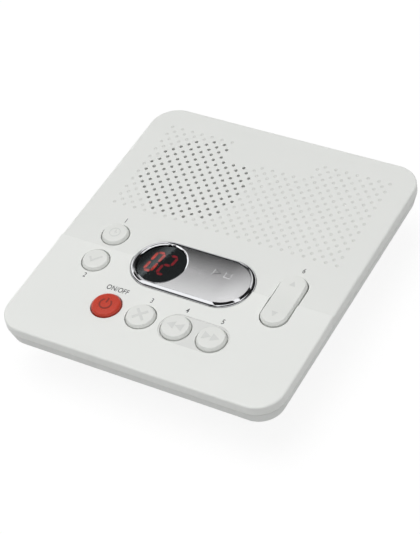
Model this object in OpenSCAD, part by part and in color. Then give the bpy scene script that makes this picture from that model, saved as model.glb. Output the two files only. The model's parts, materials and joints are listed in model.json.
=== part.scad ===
// Desk-top answering machine: a thin slab on a deeper base, with push keys,
// a volume rocker, a two-digit display and a speaker behind a drilled grille.
// Millimetres, +Z up, +Y towards the back. The origin is on the surface that
// the feet stand on, under the middle of the slab.

/* [Case] */
// Width of the slab
case_w = 129; // [126:1:165]
// Length of the slab, front to back
case_l = 142; // [140:1:180]
// Radius of the slab's corners in plan
corner_r = 12; // [8:0.5:18]
// Rounding of the slab's top edge
edge_r = 0.8; // [0.4:0.1:1.2]
// Height of the covers' side wall, above the parting line
upper_band_h = 4.4; // [4:0.1:6]
// Height of the tray's side wall, below the parting line
lower_band_h = 6.5; // [5.4:0.1:8]
// How far the tray's side wall leans in at its bottom edge
lower_band_lean = 1.85; // [0:0.05:2.5]
// Thickness of the covers' top wall
top_t = 2; // [1.6:0.1:2.4]
// Thickness of the slab's side walls
side_t = 2.2; // [1.8:0.1:3]
// Thickness of the tray's floor
tray_t = 1.8; // [1.5:0.1:2.2]
// Distance of the crease between the two covers from the front edge
crease_from_front = 53.7; // [50:0.1:60]
// Height of the front cover above the grille cover at the crease
crease_step = 0.5; // [0.2:0.05:0.8]
// Height of the lap rib that lines up the tray and the covers
lap_h = 1.2; // [0.8:0.1:1.6]
// Depth of the recess round the repeat and skip keys
key_recess = 0.3; // [0.1:0.05:0.5]

/* [Base] */
// Depth of the base below the slab
base_depth = 20.9; // [20.5:0.1:30]
// How far the base is set in from each side of the slab
base_side_inset = 18.8; // [12:0.1:19.5]
// How far the base is set in from the front edge
base_front_inset = 15.2; // [10:0.1:20]
// How far the base is set in from the back edge
base_back_inset = 8; // [6:0.5:12]
// Radius of the base's upright corners
base_corner_r = 4; // [3:0.5:8]
// Wall thickness of the base
base_t = 2; // [1.6:0.1:3]
// Diameter of a rubber foot
foot_d = 10; // [8:0.5:14]
// How far a foot stands below the base
foot_h = 1.5; // [1:0.1:3]
// Depth of the recess that holds a foot
foot_recess = 0.8; // [0.5:0.1:1]
// Distance of a foot's centre from the base's sides
foot_inset = 9; // [8:0.5:14]
// Distance between the two wall-mounting keyholes
keyhole_pitch = 50; // [30:1:60]

/* [Keys] */
// Diameter of the round keys in the front row
row_key_d = 12.6; // [10.5:0.1:13.4]
// Distance between the keys of the front row
row_pitch = 16.4; // [16:0.1:18]
// Distance of the front row from the front edge
row_from_front = 25.2; // [22:0.1:28]
// Diameter of the two keys at the left
side_key_d = 11.8; // [10:0.1:12.4]
// Distance of the left keys and the rocker from the middle
side_key_x = 42.3; // [41:0.1:44]
// Distance of the left keys and the rocker's ends from the crease
side_key_y = 8.1; // [7.8:0.1:9]
// Gap round a key
key_gap = 0.3; // [0.2:0.05:0.4]
// How far a key stands above the cover
key_rise = 1.6; // [1:0.1:2.5]
// Rounding of a key's top edge
key_edge_r = 0.9; // [0.4:0.1:1.2]
// How far a key goes down
key_travel = 0.7; // [0.4:0.05:0.8]
// Width of the flange that keeps a key in its hole
flange_w = 0.8; // [0.5:0.1:1]
// Thickness of that flange
flange_t = 0.7; // [0.5:0.05:0.8]
// Wall thickness of a key cap
cap_t = 1.2; // [1:0.1:1.5]
// Rocker tilt each way, in degrees
rocker_tilt = 2.5; // [1:0.1:2.5]

/* [Display] */
// Length of the chrome bezel
bezel_l = 56; // [52:0.5:60]
// Width of the chrome bezel
bezel_w = 26.6; // [22.2:0.1:28]
// Width of the bezel's rim round the window
bezel_rim = 2.7; // [2.2:0.1:3.2]
// Width of the bezel's rim round the play key
play_rim = 2.2; // [1.9:0.1:2.6]
// Width of the bezel's bridge between the window and the play key
bridge_t = 1.2; // [0.8:0.1:1.6]
// Height of the bezel above the grille cover
bezel_rise = 1.1; // [0.6:0.1:1.6]
// Height of the play key above the grille cover
play_rise = 1.2; // [0.8:0.1:1.6]
// Rise of the play key's top from its sides to its middle line
play_crown = 0.35; // [0:0.05:0.5]
// Height of a display digit
digit_h = 12; // [9:0.5:12.5]
// Distance from one digit to the next
digit_pitch = 5.9; // [5.5:0.1:6.5]
// Lean of the digits, in degrees
digit_lean = 8; // [0:1:12]

/* [Speaker] */
// Distance between the grille's hole columns and rows
grille_step = 2.54; // [2.4:0.02:2.8]
// Diameter of a grille hole
grille_hole_d = 1.35; // [1:0.05:1.6]
// Diameter of a dimple, where the pattern goes on without a hole
dimple_d = 1.25; // [0.8:0.05:1.5]
// Depth of a dimple
dimple_depth = 0.45; // [0.2:0.05:0.6]
// Radius of the disc of drilled holes
grille_r = 24.6; // [21:0.1:26]
// Distance of the pattern's middle row from the back edge
grille_from_back = 37.4; // [37:0.1:44]
// Columns of the pattern on each side of the middle
grille_columns = 21; // [15:1:21]
// Rows of the pattern on each side of its middle row
grille_rows = 10; // [6:1:10]
// Distance of the speaker from the middle, to the left
speaker_off = 27.3; // [26:0.1:29]
// Diameter of the speaker
speaker_d = 39; // [36:0.5:40]
// Diameter of the speaker's magnet
magnet_d = 22; // [18:0.5:26]

/* [Hidden] */
$fn = 64;
eps = 0.01;                    // overshoot of a cut through a face
run_gap = 0.05;                // clearance of parts that slide or turn
seat_gap = 0.1;                // clearance of parts that drop in place
bore_gap = 0.05;               // screw in its pilot hole

// Levels, from the feet up
z_base = foot_h;
z_base_floor = z_base + base_t;
z_tray = z_base + base_depth;
z_floor = z_tray + tray_t;
z_part = z_tray + lower_band_h;
z_top = z_part + upper_band_h;
z_under = z_top - top_t;
z_flange = z_under - run_gap - flange_t;
board_t = 1.6;
mat_t = 0.5;
dome_h = 1.15;
z_dome = z_flange - dome_h;
z_mat = z_dome - mat_t;
z_keypad = z_mat - board_t;
lap_w = 1;
tray_edge = 0.6;
base_edge = 1.4;

// Places along the slab
front_y = -case_l / 2;
back_y = case_l / 2;
crease_y = front_y + crease_from_front;
row_y = front_y + row_from_front;
speaker_x = -speaker_off;
grille_y = back_y - grille_from_back;
speaker_y = grille_y - 0.75;

// The base's outline
base_x = case_w / 2 - base_side_inset;
base_front = front_y + base_front_inset;
base_back = back_y - base_back_inset;
base_mid_y = (base_front + base_back) / 2;
base_l = base_back - base_front;

// Holes in the covers: centre and radius of each round key
key_row_x = [for (i = [-1.5:1.5]) i * row_pitch];
row_hole_r = row_key_d / 2 + key_gap;
side_hole_r = side_key_d / 2 + key_gap;
clock_at = [-side_key_x, crease_y + side_key_y];
setup_at = [-side_key_x, crease_y - side_key_y];
power_at = [key_row_x[0], row_y];
delete_at = [key_row_x[1], row_y];
repeat_at = [key_row_x[2], row_y];
skip_at = [key_row_x[3], row_y];
rocker_at = [side_key_x, crease_y];

// Keypad board: its edges, its screws and the power key's lamp
keypad_x = side_key_x + side_hole_r + 4;
keypad_front = row_y - row_hole_r - 2;
keypad_back = crease_y + side_key_y + side_hole_r + 2;
keypad_screw_at = [
    for (x = [-1, 1], y = [keypad_front + 4, keypad_back - 3]) [x * (keypad_x - 2.8), y]
];
keypad_post_r = 1.8;
keypad_screw_r = 0.7;
lamp_out = 4.3;
lamp_l = 2;
lamp_w = 1.2;

// The bezel and what it holds
bezel_r = bezel_w / 2;
bezel_half = bezel_l / 2 - bezel_r;
bezel_in_r = bezel_r - bezel_rim;
play_in_r = bezel_r - play_rim;
window_at = [-bezel_half, crease_y];
rim_lip = 0.3;
ring_drop = 0.1;
ledge_w = 0.9;
ledge_t = 0.8;
lens_t = 0.9;
lens_rise = 0.2;
z_lens = z_top + lens_rise - lens_t;
module_r = bezel_in_r - ledge_w;
z_module = z_lens - ledge_t;
digit_t = 0.15;
z_digits = z_lens - run_gap - digit_t;
digit_w = 4.2;
digit_at = window_at + [-0.6, 0.5];
stroke_w = 1;
module_foot = [15.5, 13.5];
module_gap = 0.3;
module_pins = 2;
play_flange_w = 0.9;
z_play_flange = z_under - 0.2 - flange_t;
play_start = 3;                // from the window's middle to the play key's flange
play_dome_x = 6;

// The rocker's pivot
pivot_r = 0.8;
pivot_z = z_dome + pivot_r + 0.1;
pivot_out = 2.3;
saddle_t = 1.7;
saddle_gap = 0.6;
saddle_w = 4.4;
saddle_x = side_hole_r + saddle_gap + saddle_t / 2;
shelf_in = rocker_at[0] - saddle_x - saddle_t / 2 - 1;
shelf_w = saddle_w + 2;
rocker_dome_y = 9;
rocker_bottom = pivot_z + 0.1;
rocker_ear_l = 4;
rocker_crown = 0.15;

// Domes
dome_r = 2.6;
dome_top_r = 1.8;

// Main board
main_margin = 1.5;
standoff_h = 4;
standoff_r = 3;
z_main = z_base_floor + standoff_h;
z_parts = z_main + board_t;
main_x = base_x - base_t - main_margin;
main_front = base_front + base_t + main_margin;
main_back = base_back - base_t - main_margin;
board_hole_in = 4.5;
main_screw_at = [
    for (x = [-1, 1], y = [main_front + board_hole_in, main_back - board_hole_in])
        [x * (main_x - board_hole_in), y]
];
chip_leg = [1, 0.4, 0.5];
processor_size = [14, 14, 2];
memory_size = [8, 12, 1.2];
relay_size = [10, 18, 8];
transformer_size = [13, 11];
transformer_plate_h = 3;
transformer_h = 9;
regulator_size = [6.5, 3.5, 6];
connector_size = [22, 5, 4];
ribbon_size = [20, 0.3];
ribbon_y = base_front + 18;

// Feet
foot_x = base_x - foot_inset;
foot_front = base_front + foot_inset;
foot_back = base_back - foot_inset;

// Case screws: distance in from the slab's sides, and their places
screw_in = 7;
screw_corner_in = 11;
crease_screw_y = 11;
case_screw_at = [
    for (s = [-1, 1]) [s * (case_w / 2 - screw_corner_in), back_y - screw_in],
    for (s = [-1, 1]) [s * (case_w / 2 - screw_in), crease_y + crease_screw_y],
    for (s = [-1, 1]) [s * (case_w / 2 - screw_in), crease_y - crease_screw_y],
    for (s = [-1, 1]) [s * (case_w / 2 - screw_corner_in), front_y + screw_in]
];
screw_r = 1.05;
screw_head_r = 2.5;
screw_head_h = 0.9;
boss_r = 2.8;

// Speaker
speaker_r = speaker_d / 2;
cloth_t = 0.4;
gasket_t = 1;
rim_t = 1;
z_gasket = z_under - cloth_t - gasket_t;
z_rim = z_gasket - rim_t;
basket_t = 0.8;
z_magnet_top = z_rim - 7;
magnet_h = 5;
z_magnet = z_magnet_top - magnet_h;
clamp_r = speaker_r + 3;
clamp_head_r = 3.2;
clamp_head_h = 1.1;
clamp_angles = [60, 180, 300];
clamp_post_r = 2;
lead_at = [speaker_x + 15.3, speaker_y - 4];
lead_r = 0.5;

// Microphone: under one hole of the disc
mic_column = -10;
mic_row = 9;
mic_at = [mic_column * grille_step, grille_y + mic_row * grille_step];
mic_r = 2;
mic_h = 1.5;
boot_r = 3;

// Jacks in the base's back wall
jack_w = 13;
jack_h = 12.5;
jack_d = 16;
socket_w = 9.8;
socket_h = 6.8;
socket_d = 12;
latch_w = 4.6;
latch_h = 2;
line_jack_x = -24;
phone_jack_x = -6;
power_jack_x = 24;
power_w = 9;
power_h = 11;
power_d = 14;
power_bore_r = 2.9;
power_pin_r = 1;
power_bore_d = 10;
contact_w = 0.4;
contact_l = 8;
contact_pitch = 1.02;

// ---- Outlines ----

// Rectangle with rounded corners, centred
module round_rect(w, l, r) {
    square([w - 2 * r, l], center = true);
    square([w, l - 2 * r], center = true);
    for (x = [-1, 1], y = [-1, 1])
        translate([x * (w / 2 - r), y * (l / 2 - r)]) circle(r = r);
}

// Outline with two round ends, lying along X or standing along Y
module stadium(half, r, upright = false) {
    rotate(upright ? 90 : 0) {
        square([2 * half, 2 * r], center = true);
        for (s = [-1, 1]) translate([s * half, 0]) circle(r = r);
    }
}

module slab_outline(inset) {
    round_rect(case_w - 2 * inset, case_l - 2 * inset, corner_r - inset);
}

module base_outline(inset) {
    translate([0, base_mid_y])
        round_rect(2 * (base_x - inset), base_l - 2 * inset, max(base_corner_r - inset, 0.5));
}

// ---- Covers ----

// Upright post with a rounded top edge, for the corners of a cover
module edge_post(r, top) {
    rotate_extrude($fn = 48)
        polygon([
            [0, z_part], [r, z_part],
            for (a = [0:22.5:90]) [r - edge_r + edge_r * cos(a), top - edge_r + edge_r * sin(a)],
            [0, top]
        ]);
}

// Thin slice of a cover's cross-section, from side to side at y
module edge_slice(y, top, thick = 0.02) {
    w = case_w / 2;
    translate([0, y, 0]) rotate([90, 0, 0]) linear_extrude(thick)
        polygon([
            [w, z_part],
            for (a = [0:22.5:90]) [w - edge_r + edge_r * cos(a), top - edge_r + edge_r * sin(a)],
            for (a = [90:22.5:180]) [-w + edge_r + edge_r * cos(a), top - edge_r + edge_r * sin(a)],
            [-w, z_part]
        ]);
}

// Outer form of the grille cover
module rear_form() {
    hull() {
        for (s = [-1, 1])
            translate([s * (case_w / 2 - corner_r), back_y - corner_r, 0]) edge_post(corner_r, z_top);
        edge_slice(crease_y + 0.07, z_top);
    }
}

// Outer form of the front cover, gently crowned towards the front edge
module front_form() {
    hull() {
        for (s = [-1, 1])
            translate([s * (case_w / 2 - corner_r), front_y + corner_r, 0]) edge_post(corner_r, z_top);
        edge_slice(crease_y - crease_from_front * 0.4, z_top + crease_step * 0.8);
        edge_slice(crease_y - 0.05, z_top + crease_step);
    }
}

// Everything that passes through the covers
module cover_openings() {
    depth = z_top + 3 - z_part;
    translate([0, 0, z_part]) {
        for (p = [clock_at, setup_at]) translate(p) cylinder(r = side_hole_r, h = depth);
        for (x = key_row_x) translate([x, row_y]) cylinder(r = row_hole_r, h = depth);
        translate(rocker_at) linear_extrude(depth) stadium(side_key_y, side_hole_r, true);
        translate([0, crease_y]) linear_extrude(depth) stadium(bezel_half, bezel_r + seat_gap);
    }
}

// Post under a cover that carries the keypad board
module keypad_posts(places) {
    for (p = places) translate([p[0], p[1], z_mat]) cylinder(r = keypad_post_r, h = z_under - z_mat + eps);
}

module keypad_pilots(places) {
    for (p = places)
        translate([p[0], p[1], z_mat - eps]) cylinder(r = keypad_screw_r + bore_gap, h = z_under - z_mat);
}

// Screw boss under a cover, with its pilot hole cut by boss_pilots()
module boss_at(p) {
    translate([p[0], p[1], z_floor]) cylinder(r = boss_r, h = z_under - z_floor + eps);
}

module boss_pilots() {
    for (p = case_screw_at)
        translate([p[0], p[1], z_floor - eps]) cylinder(r = screw_r + bore_gap, h = 4);
}

module cover_cavity() {
    translate([0, 0, z_part - eps]) linear_extrude(z_under - z_part + eps) slab_outline(side_t);
}

module front_cover() {
    color("#e6e7e4") difference() {
        union() {
            difference() {
                front_form();
                cover_cavity();
            }
            for (i = [4:7]) boss_at(case_screw_at[i]);
            keypad_posts([keypad_screw_at[0], keypad_screw_at[2]]);
        }
        cover_openings();
        boss_pilots();
        keypad_pilots(keypad_screw_at);
        translate([(repeat_at[0] + skip_at[0]) / 2, row_y, z_top - key_recess])
            linear_extrude(crease_step + key_recess + 1) stadium(row_pitch / 2, row_hole_r + 0.4);
    }
}

// Holes of the grille pattern, staggered from row to row, that lie over the
// speaker, apart from the bare field at the back edge
grille_points = [
    for (i = [-grille_columns:grille_columns], j = [-grille_rows:grille_rows])
        if ((i + j) % 2 != 0 && !in_bare_field(i, j)) [i * grille_step, grille_y + j * grille_step]
];
function in_bare_field(i, j) = (j >= 7 && abs(i + 0.5) < 7.6) || (j == 6 && i > -8 && i < -2);
function over_speaker(p) = norm([p[0] - speaker_x, p[1] - speaker_y]) <= grille_r;

module grille_holes() {
    for (p = grille_points)
        if (over_speaker(p))
            translate([p[0], p[1], z_under - 1]) cylinder(d = grille_hole_d, h = top_t + 2, $fn = 24);
        else
            translate([p[0], p[1], z_top - dimple_depth])
                cylinder(d1 = dimple_d / 2, d2 = dimple_d, h = dimple_depth + eps, $fn = 16);
}

module grille_cover() {
    color("#dfe0dc") difference() {
        union() {
            difference() {
                rear_form();
                cover_cavity();
            }
            for (i = [0:3]) boss_at(case_screw_at[i]);
            keypad_posts([keypad_screw_at[1], keypad_screw_at[3]]);
            for (a = clamp_angles)
                translate([speaker_x + clamp_r * cos(a), speaker_y + clamp_r * sin(a), z_rim])
                    cylinder(r = clamp_post_r, h = z_under - z_rim + eps);
        }
        cover_openings();
        boss_pilots();
        keypad_pilots(keypad_screw_at);
        grille_holes();
        for (a = clamp_angles)
            translate([speaker_x + clamp_r * cos(a), speaker_y + clamp_r * sin(a), z_rim - eps])
                cylinder(r = screw_r + bore_gap, h = 3.2);
    }
}

// ---- Tray and bottom case ----

// Outer form of the tray: the side wall leans in towards a softened bottom edge
module tray_form() {
    hull() {
        translate([0, 0, z_part - eps]) linear_extrude(eps) slab_outline(0, $fn = 48);
        translate([0, 0, z_tray + tray_edge]) linear_extrude(eps)
            slab_outline(lower_band_lean * (1 - tray_edge / lower_band_h), $fn = 48);
        translate([0, 0, z_tray]) linear_extrude(eps) slab_outline(lower_band_lean + tray_edge, $fn = 48);
    }
}

// Shelf across the tray's opening, under the rocker's saddles
module saddle_shelf(grow) {
    translate([shelf_in - grow, crease_y - shelf_w / 2 - grow])
        square([base_x - shelf_in + grow, shelf_w + 2 * grow]);
}

// Posts with open slots in which the rocker's pins turn
module rocker_saddles() {
    difference() {
        for (s = [-1, 1])
            translate([rocker_at[0] + s * saddle_x - saddle_t / 2, crease_y - saddle_w / 2, z_tray])
                cube([saddle_t, saddle_w, z_under - seat_gap - z_tray]);
        translate([rocker_at[0] - 2 * side_hole_r, crease_y, pivot_z]) rotate([0, 90, 0])
            cylinder(r = pivot_r + run_gap, h = 4 * side_hole_r, $fn = 32);
        translate([rocker_at[0] - 2 * side_hole_r, crease_y - pivot_r - run_gap, pivot_z])
            cube([4 * side_hole_r, 2 * (pivot_r + run_gap), 4]);
    }
}

// Lower half of the slab, open over the base
module slab_tray() {
    inner = side_t + seat_gap + lap_w;
    color("#d6d7d3") {
        difference() {
            tray_form();
            translate([0, 0, z_floor]) linear_extrude(lower_band_h) slab_outline(inner);
            translate([0, 0, z_tray - 1]) linear_extrude(tray_t + 2) difference() {
                base_outline(base_t / 2);
                saddle_shelf(0);
            }
            for (p = case_screw_at) translate([p[0], p[1], z_tray - eps]) {
                cylinder(r = screw_r + 0.35, h = tray_t + 1);
                cylinder(r = screw_head_r + 0.3, h = screw_head_h + 0.1);
            }
        }
        // lap rib inside the covers' side walls
        translate([0, 0, z_part - 1]) linear_extrude(1 + lap_h) difference() {
            slab_outline(side_t + seat_gap);
            slab_outline(inner);
        }
        rocker_saddles();
    }
}

module keyhole_cut() {
    head_r = 3.6;
    slot_r = 1.9;
    run = 6;
    cylinder(r = head_r, h = base_t + 2);
    translate([-slot_r, 0, 0]) cube([2 * slot_r, run, base_t + 2]);
    translate([0, run, 0]) cylinder(r = slot_r, h = base_t + 2);
}

// Outer form of the base, with a softened bottom edge
module base_form() {
    hull() {
        translate([0, 0, z_base]) linear_extrude(eps) base_outline(base_edge, $fn = 32);
        translate([0, 0, z_base + base_edge * 0.3]) linear_extrude(eps)
            base_outline(base_edge * 0.3, $fn = 32);
        translate([0, 0, z_base + base_edge]) linear_extrude(base_depth - base_edge)
            base_outline(0, $fn = 32);
    }
}

// Tub of the base, which plugs into the tray's opening
module bottom_case() {
    color("#d6d7d3") difference() {
        union() {
            base_form();
            translate([0, 0, z_tray - 1]) linear_extrude(1 + tray_t) difference() {
                base_outline(base_t / 2 + seat_gap);
                saddle_shelf(seat_gap);
            }
        }
        difference() {
            translate([0, 0, z_base_floor]) linear_extrude(z_floor - z_base_floor + 1)
                base_outline(base_t);
            for (p = main_screw_at)
                translate([p[0], p[1], z_base_floor - 1]) cylinder(r = standoff_r, h = standoff_h + 1);
        }
        for (p = main_screw_at)
            translate([p[0], p[1], z_base_floor]) cylinder(r = screw_r + bore_gap, h = standoff_h + 1);
        for (x = [-foot_x, foot_x], y = [foot_front, foot_back])
            translate([x, y, z_base - eps]) cylinder(d = foot_d + 2 * seat_gap, h = foot_recess + eps);
        for (s = [-1, 1])
            translate([s * keyhole_pitch / 2, base_mid_y + base_l / 4, z_base - 1]) keyhole_cut();
        for (x = [line_jack_x, phone_jack_x])
            translate([x - jack_w / 2 - seat_gap, base_back - base_t - 1, z_parts - seat_gap])
                cube([jack_w + 2 * seat_gap, base_t + 2, jack_h + 2 * seat_gap]);
        translate([power_jack_x - power_w / 2 - seat_gap, base_back - base_t - 1, z_parts - seat_gap])
            cube([power_w + 2 * seat_gap, base_t + 2, power_h + 2 * seat_gap]);
    }
}

// ---- Display and bezel ----

// Outline of the play key's opening, with the bridge ring round the window
module play_opening(grow, clear = 0) {
    difference() {
        stadium(bezel_half, play_in_r + grow);
        translate([-bezel_half, 0]) circle(r = bezel_in_r + bridge_t + clear);
        translate([-bezel_half - bezel_r, -bezel_r]) square([bezel_r + play_start + clear, bezel_w]);
    }
}

// Cross-section of a rim between two radii, rounded down to each side of its crest
module rim_profile(r_in, crest, r_out, rise) {
    polygon([
        [r_in, z_top - eps],
        [r_out, z_top - eps],
        for (a = [0:15:90]) [crest + (r_out - crest) * cos(a), z_top + rise * sin(a)],
        for (a = [105:15:180]) [crest + (crest - r_in) * cos(a), z_top + rise * sin(a)]
    ]);
}

// The rim falls outwards from a crest beside the play key; a ring frames the window
module bezel() {
    ring_out = bezel_in_r + bridge_t;
    color("#c9cbce") translate([0, crease_y, 0]) {
        difference() {
            translate([0, 0, z_dome]) linear_extrude(z_top - z_dome) stadium(bezel_half, bezel_r);
            translate([-bezel_half, 0, z_lens]) cylinder(r = bezel_in_r, h = 10);
            translate([-bezel_half, 0, z_module]) cylinder(r = module_r, h = 10);
            translate([-bezel_half, 0, z_dome - eps])
                cylinder(r = bezel_in_r, h = z_module - z_dome + eps);
            translate([0, 0, z_dome - 1]) linear_extrude(20) play_opening(0);
            translate([0, 0, z_dome - 1])
                linear_extrude(z_play_flange + flange_t + run_gap - z_dome + 1)
                    play_opening(play_flange_w + 0.2);
        }
        for (s = [-1, 1]) translate([s * bezel_half, 0, 0]) rotate(s * -90)
            rotate_extrude(angle = 180) rim_profile(play_in_r, play_in_r + rim_lip, bezel_r, bezel_rise);
        for (s = [0, 1]) mirror([0, s, 0]) translate([-bezel_half, 0, 0]) rotate([90, 0, 90])
            linear_extrude(2 * bezel_half)
                rim_profile(play_in_r, play_in_r + rim_lip, bezel_r, bezel_rise);
        translate([-bezel_half, 0, 0]) rotate_extrude()
            rim_profile(bezel_in_r, (bezel_in_r + ring_out) / 2, ring_out, bezel_rise - ring_drop);
    }
}

module display_lens() {
    color([0.12, 0.1, 0.1, 0.85]) translate([window_at[0], window_at[1], z_lens])
        cylinder(r = bezel_in_r - run_gap, h = lens_t);
}

module display_module() {
    color("#1d1d1f") translate([window_at[0], window_at[1], 0]) {
        translate([0, 0, z_dome])
            cylinder(r = bezel_in_r - 2 * seat_gap, h = z_module - seat_gap - z_dome);
        translate([0, 0, z_dome]) cylinder(r = module_r - seat_gap, h = z_digits - z_dome);
        translate([-module_foot[0] / 2, -module_foot[1] / 2, z_keypad - module_pins])
            cube([module_foot[0], module_foot[1], z_dome - z_keypad + module_pins + eps]);
    }
}

// One segment of a digit, lying along X
module segment(len, w) {
    polygon([
        [-len / 2, 0], [-len / 2 + w / 2, w / 2], [len / 2 - w / 2, w / 2],
        [len / 2, 0], [len / 2 - w / 2, -w / 2], [-len / 2 + w / 2, -w / 2]
    ]);
}

// Seven-segment digit: on lists the lit segments by number
module digit(on) {
    arm = digit_h / 2 - stroke_w / 2;
    wide = digit_w - stroke_w;
    places = [
        [0, arm, 0], [wide / 2, arm / 2, 90], [wide / 2, -arm / 2, 90], [0, -arm, 0],
        [-wide / 2, -arm / 2, 90], [-wide / 2, arm / 2, 90], [0, 0, 0]
    ];
    for (i = on) {
        p = places[i];
        translate([p[0] + p[1] * tan(digit_lean), p[1]])
            rotate(p[2] == 0 ? 0 : 90 - digit_lean)
                segment((p[2] == 0 ? wide : arm / cos(digit_lean)) - 0.3, stroke_w);
    }
}

module display_digits() {
    color("#ff3a1f") translate([digit_at[0], digit_at[1], z_digits])
        linear_extrude(digit_t) {
            translate([-digit_pitch / 2, 0]) digit([0, 1, 2, 3, 4, 5]);
            translate([digit_pitch / 2, 0]) digit([0, 1, 6, 4, 3]);
        }
}

// ---- Keypad ----

// Outline of the keypad board or its mat, with its openings
module keypad_outline(inset, hole_r) {
    difference() {
        translate([-keypad_x + inset, keypad_front + inset])
            square([2 * (keypad_x - inset), keypad_back - keypad_front - 2 * inset]);
        for (s = [-1, 1]) translate([rocker_at[0] + s * saddle_x, crease_y])
            square([saddle_t + 2 * module_gap, saddle_w + 2 * module_gap], center = true);
        translate(window_at)
            square([module_foot[0] + 2 * module_gap, module_foot[1] + 2 * module_gap], center = true);
        for (p = keypad_screw_at) translate(p) circle(r = hole_r);
    }
}

module keypad_board() {
    color("#2f6b45") translate([0, 0, z_keypad]) linear_extrude(board_t)
        keypad_outline(0, keypad_screw_r + 0.2);
}

module keypad_mat() {
    color("#c8c8c4") translate([0, 0, z_mat]) linear_extrude(mat_t) difference() {
        keypad_outline(0.3, keypad_post_r + seat_gap);
        translate([power_at[0] + lamp_out, power_at[1]]) square([lamp_l + 1, lamp_w + 1], center = true);
    }
}

module keypad_screws() {
    head_h = 1;
    color("#8f9194") for (p = keypad_screw_at) translate([p[0], p[1], z_keypad - head_h]) {
        cylinder(r = 2 * keypad_screw_r, h = head_h);
        translate([0, 0, head_h - eps]) cylinder(r = keypad_screw_r, h = z_under - z_keypad - 0.6);
    }
}

module power_lamp() {
    color("#ffd0b0") translate([power_at[0] + lamp_out - lamp_l / 2, power_at[1] - lamp_w / 2, z_mat])
        cube([lamp_l, lamp_w, 0.8]);
}

// Hollow round key with a flange, a rounded edge, a slightly domed top and a post
module round_key(d, rise) {
    r = d / 2;
    top = z_top + rise;
    crown = 0.25;
    flat_r = r - key_edge_r;
    roof = top - cap_t;
    post_r = 2;
    flange_r = r + key_gap + flange_w;
    rotate_extrude() polygon([
        [0, z_flange], [post_r, z_flange], [post_r, roof], [r - cap_t, roof],
        [r - cap_t, z_flange], [flange_r, z_flange], [flange_r, z_flange + flange_t],
        [r, z_flange + flange_t],
        for (a = [0:15:75])
            [flat_r + key_edge_r * cos(a), top - crown - key_edge_r + key_edge_r * sin(a)],
        for (i = [4:-1:0]) [flat_r * i / 4, top - crown * pow(i / 4, 2)]
    ]);
}

module clock_key() { color("#e3e4e1") translate(clock_at) round_key(side_key_d, key_rise); }
module setup_key() { color("#e3e4e1") translate(setup_at) round_key(side_key_d, key_rise + crease_step); }
module power_key() { color("#e2472f") translate(power_at) round_key(row_key_d, key_rise); }
module delete_key() { color("#e3e4e1") translate(delete_at) round_key(row_key_d, key_rise); }
module repeat_key() { color("#e3e4e1") translate(repeat_at) round_key(row_key_d, key_rise); }
module skip_key() { color("#e3e4e1") translate(skip_at) round_key(row_key_d, key_rise); }

// Half cross-section of a bar with a rounded top edge and a crowned top
module bar_profile(r, low, top, crown) {
    flat_r = r - key_edge_r;
    polygon([
        [0, low], [r, low],
        for (a = [0:15:75])
            [flat_r + key_edge_r * cos(a), top - crown - key_edge_r + key_edge_r * sin(a)],
        for (i = [4:-1:0]) [flat_r * i / 4, top - crown * pow(i / 4, 2)]
    ]);
}

// Bar with two round ends, lying along X
module rolled_bar(half, r, low, top, crown) {
    for (s = [-1, 1]) translate([s * half, 0, 0]) rotate_extrude() bar_profile(r, low, top, crown);
    translate([-half, 0, 0]) rotate([90, 0, 90]) linear_extrude(2 * half) {
        bar_profile(r, low, top, crown);
        mirror([1, 0]) bar_profile(r, low, top, crown);
    }
}

// Cuts the play key away round the window and rolls its edge there
module window_cut() {
    cut_r = bezel_in_r + bridge_t + key_gap;
    top = z_top + play_rise;
    translate([-bezel_half, 0, 0]) rotate_extrude() polygon([
        [0, z_part], [cut_r, z_part],
        for (a = [0:15:90])
            [cut_r + key_edge_r * (1 - cos(a)), top - key_edge_r + key_edge_r * sin(a)],
        [cut_r + key_edge_r, top + 1], [0, top + 1]
    ]);
    translate([-bezel_half - bezel_r, -bezel_r, z_part])
        cube([bezel_r + play_start + key_gap, bezel_w, z_top]);
}

module play_key() {
    post_r = 2;
    top = z_top + play_rise;
    color("#b9bbbd") translate([0, crease_y, 0]) difference() {
        union() {
            translate([0, 0, z_play_flange]) linear_extrude(flange_t)
                play_opening(play_flange_w - 0.1, key_gap);
            difference() {
                rolled_bar(bezel_half, play_in_r - key_gap, z_play_flange, top, play_crown);
                window_cut();
            }
        }
        translate([0, 0, z_play_flange - 1])
            linear_extrude(top - play_crown - cap_t - z_play_flange + 1) difference() {
                play_opening(-key_gap - cap_t, key_gap + cap_t);
                translate([play_dome_x, 0]) circle(r = post_r);
            }
    }
}

module volume_rocker() {
    r = side_key_d / 2;
    top = z_top + key_rise + crease_step / 2;
    hollow_h = 2.4;
    color("#e3e4e1") translate([rocker_at[0], rocker_at[1], 0]) {
        difference() {
            union() {
                rotate(90) rolled_bar(side_key_y, r, rocker_bottom, top, rocker_crown);
                translate([-r, -rocker_ear_l / 2, pivot_z - pivot_r]) cube([2 * r, rocker_ear_l, 2]);
                translate([-r - pivot_out, 0, pivot_z]) rotate([0, 90, 0])
                    cylinder(r = pivot_r, h = 2 * (r + pivot_out), $fn = 32);
            }
            for (s = [0, 1]) mirror([0, s, 0]) translate([0, 0, rocker_bottom - 1]) difference() {
                union() {
                    translate([0, side_key_y, 0]) cylinder(r = r - cap_t, h = hollow_h + 1);
                    translate([cap_t - r, rocker_ear_l / 2 + 1, 0])
                        cube([2 * (r - cap_t), side_key_y - rocker_ear_l / 2 - 1, hollow_h + 1]);
                }
                translate([0, rocker_dome_y, 0]) cylinder(r = 2, h = hollow_h + 2);
            }
        }
    }
}

// Silicone dome that lifts a key: from the mat to just under the key
module dome(at, top) {
    color("#d9d9d5") translate([at[0], at[1], z_dome])
        cylinder(r1 = dome_r, r2 = dome_top_r, h = top - run_gap - z_dome);
}

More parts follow.
